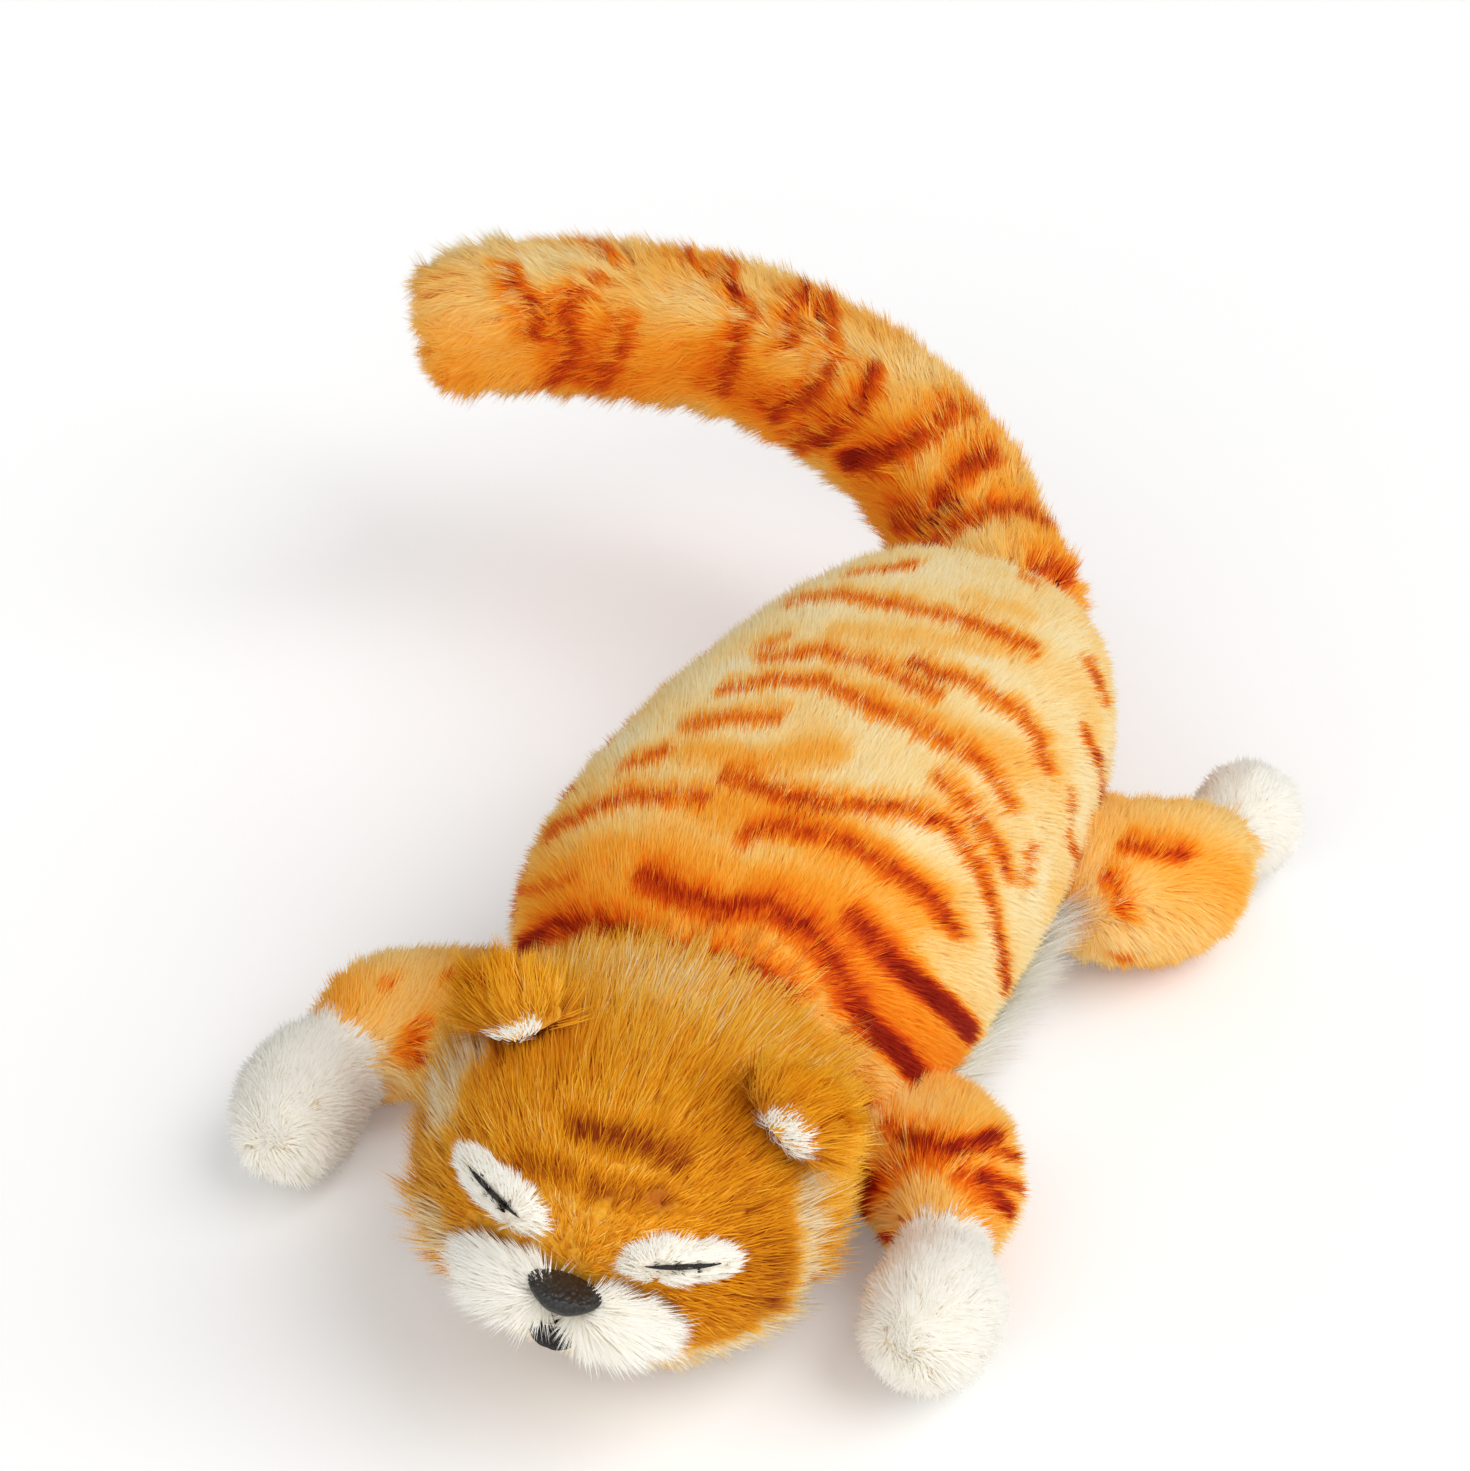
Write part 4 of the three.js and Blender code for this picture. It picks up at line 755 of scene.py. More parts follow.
# %% The legs' stripes and painted crease shade
LEG_STRIPES_AND_CREASE_SHADE = {
    "front_left": [
        (PLAIN, 0.84, [(862, 1189), (890, 1161), (918, 1147), (946, 1155), (976, 1175), (1010, 1200),
                       (1027, 1225), (1035, 1253), (1030, 1284)]),
        (THIN, 0.82, [(999, 1144), (1032, 1158)]),
        (THIN, 0.80, [(988, 1169), (1016, 1181), (1043, 1200)]),
        (THIN, 0.84, [(867, 1250), (884, 1236), (904, 1232), (923, 1236)]),
        # Painted shade, not print: the next two lines are dark bands in the creases where the leg meets the
        # head and the torso.
        (PLAIN, 0.90, [(852, 1150), (856, 1185), (858, 1220), (866, 1250)]),
        (PLAIN, 0.92, [(852, 1110), (880, 1118), (905, 1128), (945, 1138), (985, 1138), (1003, 1130)]),
    ],
    "front_right": [
        (PLAIN, 0.70, [(416, 1027), (410, 1051), (422, 1072)]),
        (THIN, 0.84, [(431, 1060), (419, 1078)]),
        (THIN, 0.68, [(314, 991), (305, 1006), (290, 1021)]),
        (THIN, 0.66, [(386, 973), (392, 976)]),
        (PLAIN, 0.82, [(455, 967), (470, 979)]),
    ],
    "hind_left": [
        (PLAIN, 0.84, [(1126, 840), (1190, 851)]),
        (PLAIN, 0.82, [(1108, 873), (1123, 919)]),
        (PLAIN, 0.78, [(1174, 782), (1195, 781)]),
        (PLAIN, 0.80, [(1186, 967), (1198, 966)]),
        (PLAIN, 0.80, [(1118, 966), (1128, 968)]),
    ],
}

leg_stripes_and_crease_shade = {limb: lines_on(surface_of(limb + "_leg"), marks) for limb, marks in LEG_STRIPES_AND_CREASE_SHADE.items()}
hidden_leg = surface_of("hind_right_leg")
leg_stripes_and_crease_shade["hind_right"] = [
    ([np.array(hidden_leg.find_nearest(Vector(point * MIRROR))[0]) for point in line], width, tone)
    for line, width, tone in leg_stripes_and_crease_shade["hind_left"]]
print("leg stripes", {limb: len(lines) for limb, lines in leg_stripes_and_crease_shade.items()})

# %% [markdown]
# ## Tufts of pile
#
# Real pile is hair by hair, and Blender has hair of its own, but hair isn't a mesh and would be lost when
# the cat is taken elsewhere. So a tuft is modelled once, as narrow blades of one or two faces each, and
# Geometry Nodes sets thousands of copies on a cover. A tuft is one unit tall, so that a copy can be
# stretched to the pile's length, and each point keeps how far up its blade it lies.

# %% Model a tuft
def pile_tuft(name, blades, faces, width, root_spread, tip_spread, lean, seed):
    """A few flat blades that share a root, one unit tall, facing along X."""
    pick = np.random.default_rng(seed)
    shape = bmesh.new()
    strand = shape.verts.layers.float_vector.new("strand")
    for number in range(blades):
        turn = math.radians(pick.uniform(-45, 45))
        root = pick.uniform(-root_spread, root_spread, 2)
        tip = root + pick.uniform(-tip_spread, tip_spread, 2) - np.array((lean, 0))
        height = pick.uniform(0.75, 1)
        verts = bmesh.ops.create_grid(shape, x_segments=1, y_segments=faces, size=0.5)["verts"]
        for vert in verts:
            side, up = math.copysign(1, vert.co.x), vert.co.y + 0.5
            across = side * width / 2 * (1 - up) * (1 + up)
            bow = root + (tip - root) * up * up
            vert[strand] = (side if up < 0.99 else 0, up, number)
            vert.co = (bow[0] - across * math.sin(turn), bow[1] + across * math.cos(turn), up * height)
        bmesh.ops.remove_doubles(shape, verts=verts, dist=1e-7)
    shape.normal_update()
    bmesh.ops.reverse_faces(shape, faces=[face for face in shape.faces if face.normal.x < 0])
    tuft = object_from(name, shape)
    tuft["blades"] = blades
    return tuft


plush_tuft = pile_tuft("plush_tuft", 24, 1, 0.46 * MM, 1.6 * MM, 1.3 * MM, 0.6 * MM, 1)
long_tuft = pile_tuft("long_tuft", 8, 2, 0.40 * MM, 1.3 * MM, 1.3 * MM, 1.6 * MM, 2)
fine_tuft = pile_tuft("fine_tuft", 8, 2, 0.28 * MM, 1.5 * MM, 1.0 * MM, 0.5 * MM, 3)
print("tuft points", [len(tuft.data.vertices) for tuft in (plush_tuft, long_tuft, fine_tuft)])

# %% Scatter tufts with Geometry Nodes
def scatter_tree(tuft, density, ruffle, seed):
    """A node tree that sets tufts on a cover, along its comb and to the length of its pile."""
    tree = bpy.data.node_groups.new("pile_scatter", "GeometryNodeTree")
    tree.interface.new_socket("Cover", in_out="INPUT", socket_type="NodeSocketGeometry")
    tree.interface.new_socket("Pile", in_out="OUTPUT", socket_type="NodeSocketGeometry")
    add, link = tree.nodes.new, tree.links.new

    def read(name, kind):
        node = add("GeometryNodeInputNamedAttribute")
        node.data_type = kind
        node.inputs["Name"].default_value = name
        return node.outputs[0]

    def keep(geometry, name, value):
        node = add("GeometryNodeStoreNamedAttribute")
        node.data_type = "FLOAT_VECTOR"
        node.inputs["Name"].default_value = name
        link(geometry, node.inputs["Geometry"])
        link(value, node.inputs["Value"])
        return node.outputs[0]

    def times(first, second):
        node = add("ShaderNodeMath")
        node.operation = "MULTIPLY"
        link(first, node.inputs[0])
        if isinstance(second, (int, float)):
            node.inputs[1].default_value = second
        else:
            link(second, node.inputs[1])
        return node.outputs[0]

    scatter = add("GeometryNodeDistributePointsOnFaces")
    scatter.inputs["Seed"].default_value = seed
    link(add("NodeGroupInput").outputs[0], scatter.inputs["Mesh"])
    link(times(read("pile_share", "FLOAT"), density), scatter.inputs["Density"])
    points = keep(scatter.outputs["Points"], "root", add("GeometryNodeInputPosition").outputs[0])
    points = keep(points, "ground", scatter.outputs["Normal"])
    stray = add("FunctionNodeRandomValue")
    stray.data_type = "FLOAT_VECTOR"
    stray.inputs[0].default_value = [-ruffle] * 3
    stray.inputs[1].default_value = [ruffle] * 3
    stray.inputs["Seed"].default_value = seed + 1
    way = add("ShaderNodeVectorMath")
    link(read("pile_comb", "FLOAT_VECTOR"), way.inputs[0])
    link(stray.outputs[0], way.inputs[1])
    upright = add("FunctionNodeAlignRotationToVector")
    upright.axis = "Z"
    link(way.outputs[0], upright.inputs["Vector"])
    facing = add("FunctionNodeAlignRotationToVector")
    facing.axis = "X"
    facing.pivot_axis = "Z"
    link(upright.outputs[0], facing.inputs["Rotation"])
    link(scatter.outputs["Normal"], facing.inputs["Vector"])
    vary = add("FunctionNodeRandomValue")
    vary.inputs[2].default_value = 0.7
    vary.inputs[3].default_value = 1.15
    vary.inputs["Seed"].default_value = seed + 2
    size = add("ShaderNodeCombineXYZ")
    size.inputs[0].default_value = 1
    size.inputs[1].default_value = 1
    link(times(read("pile_length", "FLOAT"), vary.outputs[1]), size.inputs[2])
    model = add("GeometryNodeObjectInfo")
    model.inputs["Object"].default_value = tuft
    copies = add("GeometryNodeInstanceOnPoints")
    link(points, copies.inputs["Points"])
    link(model.outputs["Geometry"], copies.inputs["Instance"])
    link(facing.outputs[0], copies.inputs["Rotation"])
    link(size.outputs[0], copies.inputs["Scale"])
    solid = add("GeometryNodeRealizeInstances")
    link(copies.outputs[0], solid.inputs[0])
    link(solid.outputs[0], add("NodeGroupOutput").inputs[0])
    return tree


print("scatter tree ready")

# %% Grow pile on a cover
FLOOR_CLEARANCE = 0.4 * MM
BLADE_EDGE = 0.001
# The rise paints shade along each blade, darker at its root; the vary is each blade's own random lightness.
SHADE_LOW, PAINTED_ROOT_SHADE_RISE, SHADE_VARY = 0.06, 0.56, 0.34
LIGHT_THROUGH = np.array((0, 0, 0.5))
DYE_STRAY = 0.5 * MM
BLADE_LEAN = 0.35
DOWNWARD = (-0.95, -0.5)


def set_attribute(mesh, name, values):
    """Stores one number, or one vector, for each point of a mesh."""
    kind, field = ("FLOAT", "value") if values.ndim == 1 else ("FLOAT_VECTOR", "vector")
    layer = mesh.attributes.get(name) or mesh.attributes.new(name, kind, "POINT")
    layer.data.foreach_set(field, values.astype(np.float32).ravel())


def read_vectors(mesh, name):
    """Reads back one vector for each point of a mesh."""
    values = np.empty(len(mesh.vertices) * 3, np.float32)
    mesh.attributes[name].data.foreach_get("vector", values)
    return values.reshape(-1, 3).astype(float)


def combed(normals, along, lift):
    """Directions that lie along a cover the way a hand strokes it, raised by lift degrees."""
    flat = along - normals * (along * normals).sum(axis=1, keepdims=True)
    flat /= np.maximum(np.linalg.norm(flat, axis=1, keepdims=True), 1e-6)
    rise = math.radians(lift)
    return flat * math.cos(rise) + normals * math.sin(rise)


def grow_pile(name, cover, tuft, density, length, depth, comb, share, tone, finish, seed, ruffle=0.2,
              drift=0.05, through=LIGHT_THROUGH):
    """Pile as a mesh of blades, with its dye read where it reaches the surface, depth over the cover."""
    pile = bpy.data.objects.new(name, cover.data.copy())
    scene.collection.objects.link(pile)
    count = len(cover.data.vertices)
    set_attribute(pile.data, "pile_length", np.broadcast_to(length, count))
    set_attribute(pile.data, "pile_comb", comb)
    set_attribute(pile.data, "pile_share", np.broadcast_to(share, count).astype(float))
    scatter = pile.modifiers.new("Scatter", "NODES")
    scatter.node_group = scatter_tree(tuft, density, ruffle, seed)
    settle(pile)
    mesh = pile.data
    strand, root, ground = (read_vectors(mesh, part) for part in ("strand", "root", "ground"))
    points = points_of(pile)
    blade_points = len(tuft.data.vertices) // tuft["blades"]
    blades = len(points) // blade_points
    pick = np.random.default_rng(seed)
    dye_drift = np.repeat(pick.normal(0, drift, blades), blade_points)
    light = np.repeat(pick.random(blades), blade_points)
    height = ((points - root) * ground).sum(axis=1)
    astray = np.repeat(pick.normal(0, DYE_STRAY, (blades, 3)), blade_points, axis=0)
    dye = tone(points + ground * (depth - height)[:, None] + astray) + dye_drift
    across = np.clip(dye, 0.01, 0.99) + strand[:, 0] * BLADE_EDGE
    # Each blade's lightness on its UV map: painted shade, darker at its root, plus its own random
    # lightness.
    lightness_and_root_shade = SHADE_LOW + PAINTED_ROOT_SHADE_RISE * strand[:, 1] + SHADE_VARY * light
    corners = np.empty(len(mesh.loops), np.int32)
    mesh.loops.foreach_get("vertex_index", corners)
    layer = mesh.uv_layers.new(name="OFBake")
    layer.uv.foreach_set("vector", np.stack((across, lightness_and_root_shade), 1)[corners].astype(np.float32).ravel())
    reach = (points - root) / np.maximum(np.linalg.norm(points - root, axis=1), 1e-6)[:, None]
    points[:, 2] = np.maximum(points[:, 2], FLOOR_CLEARANCE)
    place_points(pile, points)
    mesh.shade_smooth()
    soft = ground + BLADE_LEAN * reach + through * smooth_step(ground[:, 2:], *DOWNWARD)
    soft /= np.linalg.norm(soft, axis=1, keepdims=True)
    mesh.normals_split_custom_set_from_vertices(soft)
    for part in ("strand", "root", "ground", "tone"):
        if part in mesh.attributes:
            mesh.attributes.remove(mesh.attributes[part])
    mesh.materials.clear()
    mesh.materials.append(finish)
    print(name, blades, "blades,", blades * (blade_points - 2), "triangles")
    return pile


def colour_cover(cover, tone, finish, depth):
    """Gives a cover its dye, read where the pile's tips are."""
    set_attribute(cover.data, "tone", np.clip(tone(points_of(cover) + normals_of(cover) * depth), 0, 1))
    cover.data.materials.clear()
    cover.data.materials.append(finish)


def ripple(points, size, phase):
    """A soft, irregular wave between 0 and 1, for patches that no one drew."""
    x, y, z = (points / size + phase).T
    wave = np.sin(x + 1.7 * np.sin(0.8 * y)) + np.sin(1.3 * y + 1.1 * np.sin(0.9 * z))
    return 0.5 + (wave + np.sin(1.1 * z + np.sin(x))) / 6


print("pile helpers ready")

# %% [markdown]
# ## The torso's pile
#
# The back is cream with golden patches between its stripes, and warmer at the shoulders. The nap runs
# to the rear and down the sides. The belly is white, and its longer pile shows behind the front leg.

# %% The torso's pile
BELLY_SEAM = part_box("torso_plush")[0][2]
TORSO_PILE = 8.5 * MM
BELLY_PILE = 12 * MM
FRINGE_PILE = 27 * MM
BACK_DENSITY = 330e3
BELLY_DENSITY = 150e3
FLAP_ROOM = 1.5 * MM
BACK_PARTS = [("front", -1, -20 * MM), ("middle", -20 * MM, 45 * MM), ("rear", 45 * MM, 1)]


def torso_tone(points):
    """The torso's dye: cream, golden patches, warm shoulders, then its stripes and painted crease shade."""
    shoulder = smooth_step(-points[:, 1], 10 * MM, 80 * MM)
    low = 1 - smooth_step(points[:, 2], 30 * MM, 62 * MM)
    drift = ripple(points, 7 * MM, 1.0)
    ground = 0.08 + 0.2 * drift + 0.2 * shoulder * (1 - 0.6 * low)
    patch, gold = stripe_share(points, gold_marks, 0.5, 1.2 + 0.4 * drift)
    ground = ground + np.maximum(gold - ground, 0) * patch
    share, dark = stripe_share(points, torso_stripe_and_shade_marks)
    return ground + (dark + STRIPE_DEEPER - ground) * share


def white_tone(points):
    """White, with a little drift."""
    return 0.05 + 0.25 * ripple(points, 9 * MM, 4.0)


points, normals = points_of(torso_cover), normals_of(torso_cover)
tips = points + normals * TORSO_PILE_DEPTH
sideways = np.abs(normals[:, :1])
torso_comb = combed(normals, np.array((0, 1, 0)) - sideways * np.array((0, 0.3, 0.9)), 32)
fringe = smooth_step(np.abs(points[:, 0]), 34 * MM, 46 * MM)
outward = (np.sign(points[:, 0]) * fringe)[:, None] * np.array((1, 0, 0))
rearward = (1.15 - fringe)[:, None] * np.array((0, 1, 0))
belly_comb = combed(normals, outward + rearward + np.array((0, 0, -0.25)), 28)
covered = np.zeros(len(points), bool)
for node in ["head_plush"] + [limb + "_leg" for limb in LIMBS]:
    covered |= buried(surface_of(node), tips, 1 * MM)
opening_middle = (np.array(flap_low) + np.array(flap_high)) / 2 * np.array((1, 1, 0))
in_opening = (np.abs(points - opening_middle) < np.array(opening_size) / 2 + OPENING_MARGIN).all(axis=1)
bare = covered | in_opening | (np.abs(gap_to(surface_of("belly_flap"), points)) < FLAP_ROOM)
back = (points[:, 2] > BELLY_SEAM + 0.5 * MM) & ~bare
belly = (points[:, 2] <= BELLY_SEAM + 0.5 * MM) & ~bare
belly_lengths = BELLY_PILE + (FRINGE_PILE - BELLY_PILE) * fringe
colour_cover(torso_cover, lambda at: np.where(at[:, 2] > BELLY_SEAM, torso_tone(at), 0), striped_ground,
             TORSO_PILE_DEPTH)
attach(torso_cover, "torso")
torso_piles = []
for number, (part, start, end) in enumerate(BACK_PARTS):
    here = back & (points[:, 1] >= start) & (points[:, 1] < end)
    torso_piles.append(grow_pile("back_pile_" + part, torso_cover, plush_tuft, BACK_DENSITY, TORSO_PILE,
                                 TORSO_PILE_DEPTH, torso_comb, here, torso_tone, striped_pile, 11 + number))
belly_pile = grow_pile("belly_pile", torso_cover, long_tuft, BELLY_DENSITY, belly_lengths, TORSO_PILE_DEPTH,
                       belly_comb, belly * (1 + 2 * fringe), white_tone, white_pile, 14,
                       through=3 * LIGHT_THROUGH)
for pile in torso_piles:
    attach(pile, "torso")
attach(belly_pile, "torso")

# %% The belly flap
FLAP_PILE = 6 * MM
FLAP_PILE_DEPTH = 2.5 * MM
FLAP_DENSITY = 150e3

flap = stuffed_cover("flap_cover", ["belly_flap"], FLAP_PILE_DEPTH, 0.6 * MM, FACE_VOXEL)
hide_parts("belly_flap")
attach(flap, "belly_flap")
colour_cover(flap, white_tone, white_ground, 0)
points, normals = points_of(flap), normals_of(flap)
flap_comb = combed(normals, np.tile((0, 1, -0.2), (len(points), 1)), 35)
flap_pile = grow_pile("flap_pile", flap, plush_tuft, FLAP_DENSITY, FLAP_PILE, FLAP_PILE_DEPTH, flap_comb,
                      normals[:, 2] < 0.2, white_tone, white_pile, 15)
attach(flap_pile, "belly_flap")

# %% [markdown]
# ## The limbs' pile
#
# Legs are golden with rust patches, and paws are white. One cover carries both, so the pile is grown in
# two goes: the leg's share and the paw's.

# %% The limbs' pile
LEG_PILE = 8.5 * MM
PAW_PILE = 6 * MM
CURL = 1.6 * MM
LEG_DENSITY = 330e3
PAW_DENSITY = 420e3


def middle_of(node):
    """The middle of a solid's box."""
    low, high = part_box(node)
    return (np.array(low) + np.array(high)) / 2


def leg_tone(stripes):
    """A leg's dye: gold with soft patches, and its own stripes, with painted crease shade on the front left
    leg.
    """
    def tone(points):
        ground = 0.17 + 0.3 * ripple(points, 8 * MM, 2.0)
        share, dark = stripe_share(points, stripes)
        return ground + (dark + STRIPE_DEEPER - ground) * share
    return tone


for number, limb in enumerate(LIMBS):
    cover = limb_covers[limb]
    points, normals = points_of(cover), normals_of(cover)
    tips = points + normals * LIMB_PILE_DEPTH
    paw_gap, leg_gap = (np.abs(gap_to(surface_of(limb + part), tips)) for part in ("_paw", "_leg"))
    is_paw = paw_gap < leg_gap
    outside = ~buried(torso_surface, points, 1 * MM)
    nap = np.array((0, 1, 0)) - np.abs(normals[:, :1]) * np.array((0, 0.3, 0.9))
    curl = np.stack([ripple(points, CURL, phase) - 0.5 for phase in (1, 2, 3)], 1)
    leg_comb, paw_comb = combed(normals, nap, 30), combed(normals, nap + 0.9 * curl, 30)
    tone = leg_tone(stripe_map(leg_stripes_and_crease_shade[limb]))
    colour_cover(cover, lambda at: np.where(is_paw, 0, tone(at)), striped_ground, LIMB_PILE_DEPTH)
    leg_pile = grow_pile(limb + "_leg_pile", cover, plush_tuft, LEG_DENSITY, LEG_PILE, LIMB_PILE_DEPTH,
                         leg_comb, ~is_paw & outside, tone, striped_pile, 20 + number)
    paw_pile = grow_pile(limb + "_paw_pile", cover, plush_tuft, PAW_DENSITY, PAW_PILE, LIMB_PILE_DEPTH,
                         paw_comb, is_paw & outside, white_tone, white_pile, 30 + number, 0.25)
    outward = np.array((1 if limb.endswith("left") else -1, 0, 0))
    for piece in (cover, leg_pile, paw_pile):
        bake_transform(piece)

# %% [markdown]
# ## The head's pile
#
# The head has the longest pile, amber, and it streams back from the nose over the brow and the cheeks.
# Cheeks and chin are white below. The eyes stay clear: no blade is set whose tip would lie across one.

# %% The head's pile
HEAD_MARKS = [
    (4.5 * MM, 0.92, [(577, 1125), (630, 1138), (678, 1157)]),
    (4.5 * MM, 0.92, [(524, 1163), (566, 1173)]),
    (4.5 * MM, 0.92, [(593, 1189), (662, 1200)]),
]
WHITE_MARKS = [
    (6 * MM, 0.0, [(432, 1110), (445, 1075), (468, 1048)]),
    (6 * MM, 0.0, [(815, 1190), (818, 1230), (812, 1270), (795, 1310), (760, 1335)]),
    (5 * MM, 0.0, [(430, 1215), (445, 1240), (470, 1265)]),
]
head_marks = stripe_map(lines_on(head_surface, HEAD_MARKS))
white_marks = stripe_map(lines_on(head_surface, WHITE_MARKS))


def head_tone(points):
    """The head's dye: amber, rust marks on the brow, white cheeks and chin."""
    rear = smooth_step(points[:, 1], -120 * MM, -85 * MM)
    side = smooth_step(points[:, 0], 15 * MM, 45 * MM)
    ground = 0.3 + 0.36 * ripple(points, 11 * MM, 3.0) - 0.12 * rear + 0.1 * side * (1 - rear)
    share, dark = stripe_share(points, head_marks, 0.4, 1.6)
    ground = ground + (dark - ground) * (0.75 + 0.25 * ripple(points, 4 * MM, 8.0)) * share
    chin = 1 - smooth_step(points[:, 2] + 5 * MM * ripple(points, 6 * MM, 5.0), 26 * MM, 34 * MM)
    pale = np.maximum(chin, stripe_share(points, white_marks)[0])
    return ground * (1 - pale) + 0.03 * pale


FACE_EDGE = -118 * MM
FRINGE_LONGER = 11 * MM
EYE_ROOM = 1.1 * MM
NOSE_ROOM = 2 * MM
HEAD_TIPS = 5 * MM
HEAD_DENSITY = 300e3
points, normals = points_of(head_cover), normals_of(head_cover)
lengths = head_pile_length(points) + FRINGE_LONGER * stripe_share(points, white_marks)[0]
head_comb = combed(normals, points - nose_middle, 33)
eye_surface = surface_of("eye_patch_left", "eye_patch_right")
nose_surface = surface_of("nose", "mouth")
clear = ~buried(torso_surface, points + normals * 4 * MM, 2 * MM)
for reach in (0, 0.5, 0.9):
    along = points + head_comb * (lengths * reach)[:, None]
    clear &= np.abs(gap_to(nose_surface, along)) > NOSE_ROOM
    clear &= np.abs(gap_to(eye_surface, along)) > EYE_ROOM
clear &= ~buried(surface_of("muzzle_left", "muzzle_right"), points + normals * 3 * MM, 0)
colour_cover(head_cover, head_tone, amber_ground, HEAD_TIPS)
face_side = points[:, 1] < FACE_EDGE
head_piles = [
    grow_pile("face_pile", head_cover, long_tuft, HEAD_DENSITY, lengths, HEAD_TIPS, head_comb,
              clear & face_side, head_tone, amber_pile, 41, 0.16, 0.1),
    grow_pile("crown_pile", head_cover, long_tuft, HEAD_DENSITY, lengths, HEAD_TIPS, head_comb,
              clear & ~face_side, head_tone, amber_pile, 42, 0.2, 0.1, 2 * LIGHT_THROUGH),
]
for piece in [head_cover] + head_piles:
    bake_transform(piece)

# %% Muzzle, ears and eyes
EAR_PILE = 14 * MM
EYE_PILE = 5.5 * MM
MUZZLE_PILE = 11 * MM
LINING_PILE = 5 * MM
FINE_DENSITY = 900e3
EAR_DENSITY = 480e3
EYE_DENSITY = 1800e3
LID_ROOM = 0.9 * MM
MOUTH_COVERED = 0.8
LINING_SHOWN = {"left": 5 * MM, "right": 1 * MM}


def ear_tone(points):
    """The ears' dye: light amber."""
    return 0.3 + 0.28 * ripple(points, 8 * MM, 6.0)


for number, side in enumerate(("left", "right")):
    muzzle, ear, patch = (small_covers[part + side] for part in ("muzzle_", "ear_", "eye_"))
    colour_cover(muzzle, white_tone, white_ground, 0)
    points, normals = points_of(muzzle), normals_of(muzzle)
    to_mouth = middle_of("mouth") - points
    by_mouth = 1 - smooth_step(np.linalg.norm(to_mouth, axis=1, keepdims=True), 6 * MM, 15 * MM)
    way = points - nose_middle + np.array((0, 0, 4 * MM)) + MOUTH_COVERED * by_mouth * to_mouth
    comb = combed(normals, way, 28)
    free = ~buried(head_surface, points, 1 * MM)
    muzzle_pile = grow_pile("muzzle_pile_" + side, muzzle, fine_tuft, FINE_DENSITY, MUZZLE_PILE,
                            MUZZLE_PILE_DEPTH, comb, free, white_tone, white_pile, 50 + number)
    colour_cover(ear, ear_tone, amber_ground, 0)
    points, normals = points_of(ear), normals_of(ear)
    ear_middle = middle_of("ear_" + side)
    comb = combed(normals, ear_middle - nose_middle + 1.2 * (points - ear_middle), 22)
    lining = np.abs(gap_to(surface_of("ear_lining_" + side), points)) < 1.6 * MM
    lining_away = np.linalg.norm(middle_of("ear_lining_" + side) - nose_middle)
    lining &= np.linalg.norm(points - nose_middle, axis=1) < lining_away + LINING_SHOWN[side]
    free = ~buried(head_surface, points, 3 * MM)
    ear_pile = grow_pile("ear_pile_" + side, ear, long_tuft, EAR_DENSITY, EAR_PILE, EAR_PILE_DEPTH, comb,
                         free & ~lining, ear_tone, amber_pile, 60 + number, 0.3, 0.07, 2 * LIGHT_THROUGH)
    lining_pile = grow_pile("ear_lining_pile_" + side, ear, fine_tuft, FINE_DENSITY, LINING_PILE,
                            EAR_PILE_DEPTH, comb, free & lining, white_tone, white_pile, 70 + number)
    colour_cover(patch, white_tone, white_ground, 0)
    points, normals = points_of(patch), normals_of(patch)
    comb = combed(normals, 0.3 * (points - nose_middle) + points - middle_of("eye_patch_" + side), 16)
    free = normals @ (nose_middle - middle_of("head_plush")) > 0
    for reach in (0, 0.5, 0.9):
        along = points + comb * EYE_PILE * reach
        free &= np.abs(gap_to(surface_of("eyelid_" + side), along)) > LID_ROOM
    eye_pile = grow_pile("eye_pile_" + side, patch, fine_tuft, EYE_DENSITY, EYE_PILE, 0.5 * MM, comb, free,
                         white_tone, white_pile, 80 + number)
    for piece in (muzzle, muzzle_pile, ear, ear_pile, lining_pile, patch, eye_pile):
        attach(piece, "head")

# %% [markdown]
# ## Nose, mouth and lids
#
# The nose is a small moulded pad: broad at the top, narrow below, and finely pebbled. It starts as a
# sphere that is tapered and flattened in the head's own directions, which the two eyes and the nose give.
# The mouth is a felt lens that hides between the muzzle's pads. Each closed eye is a thin felt line with
# a few lashes.

# %% The head's own directions
def unit(vector):
    """A vector of the same direction, one unit long."""
    return vector / np.linalg.norm(vector)


face_across = unit(middle_of("eye_patch_left") - middle_of("eye_patch_right"))
face_out = nose_middle - middle_of("head_plush")
face_out = unit(face_out - face_across * (face_out @ face_across))
face_up = np.cross(face_out, face_across)
print("face looks along", np.round(face_out, 2), "its top along", np.round(face_up, 2))


def face_span(node):
    """The middle of a solid and its half sizes along the head's own directions."""
    points = points_of(frame["nodes"][node])
    axes = np.array((face_across, -face_out, face_up))
    spread = points @ axes.T
    low, high = spread.min(axis=0), spread.max(axis=0)
    return (low + high) / 2 @ axes, (high - low) / 2


# %% Finishes of nose, mouth and lids
def pebbled_finish(name, light, dark, roughness, grain, height):
    """A dark finish with a fine raised grain."""
    finish, nodes, links, shader = new_finish(name, roughness)
    place = nodes.new("ShaderNodeTexCoord")
    cells = nodes.new("ShaderNodeTexVoronoi")
    cells.inputs["Scale"].default_value = grain
    links.new(place.outputs["Object"], cells.inputs["Vector"])
    colour = dye_ramp(nodes, [(0.1, light), (0.7, dark)])
    links.new(cells.outputs["Distance"], colour.inputs["Fac"])
    links.new(colour.outputs["Color"], shader.inputs["Base Color"])
    raise_grain(nodes, links, shader, cells.outputs["Distance"], 0.7, height).invert = True
    return finish


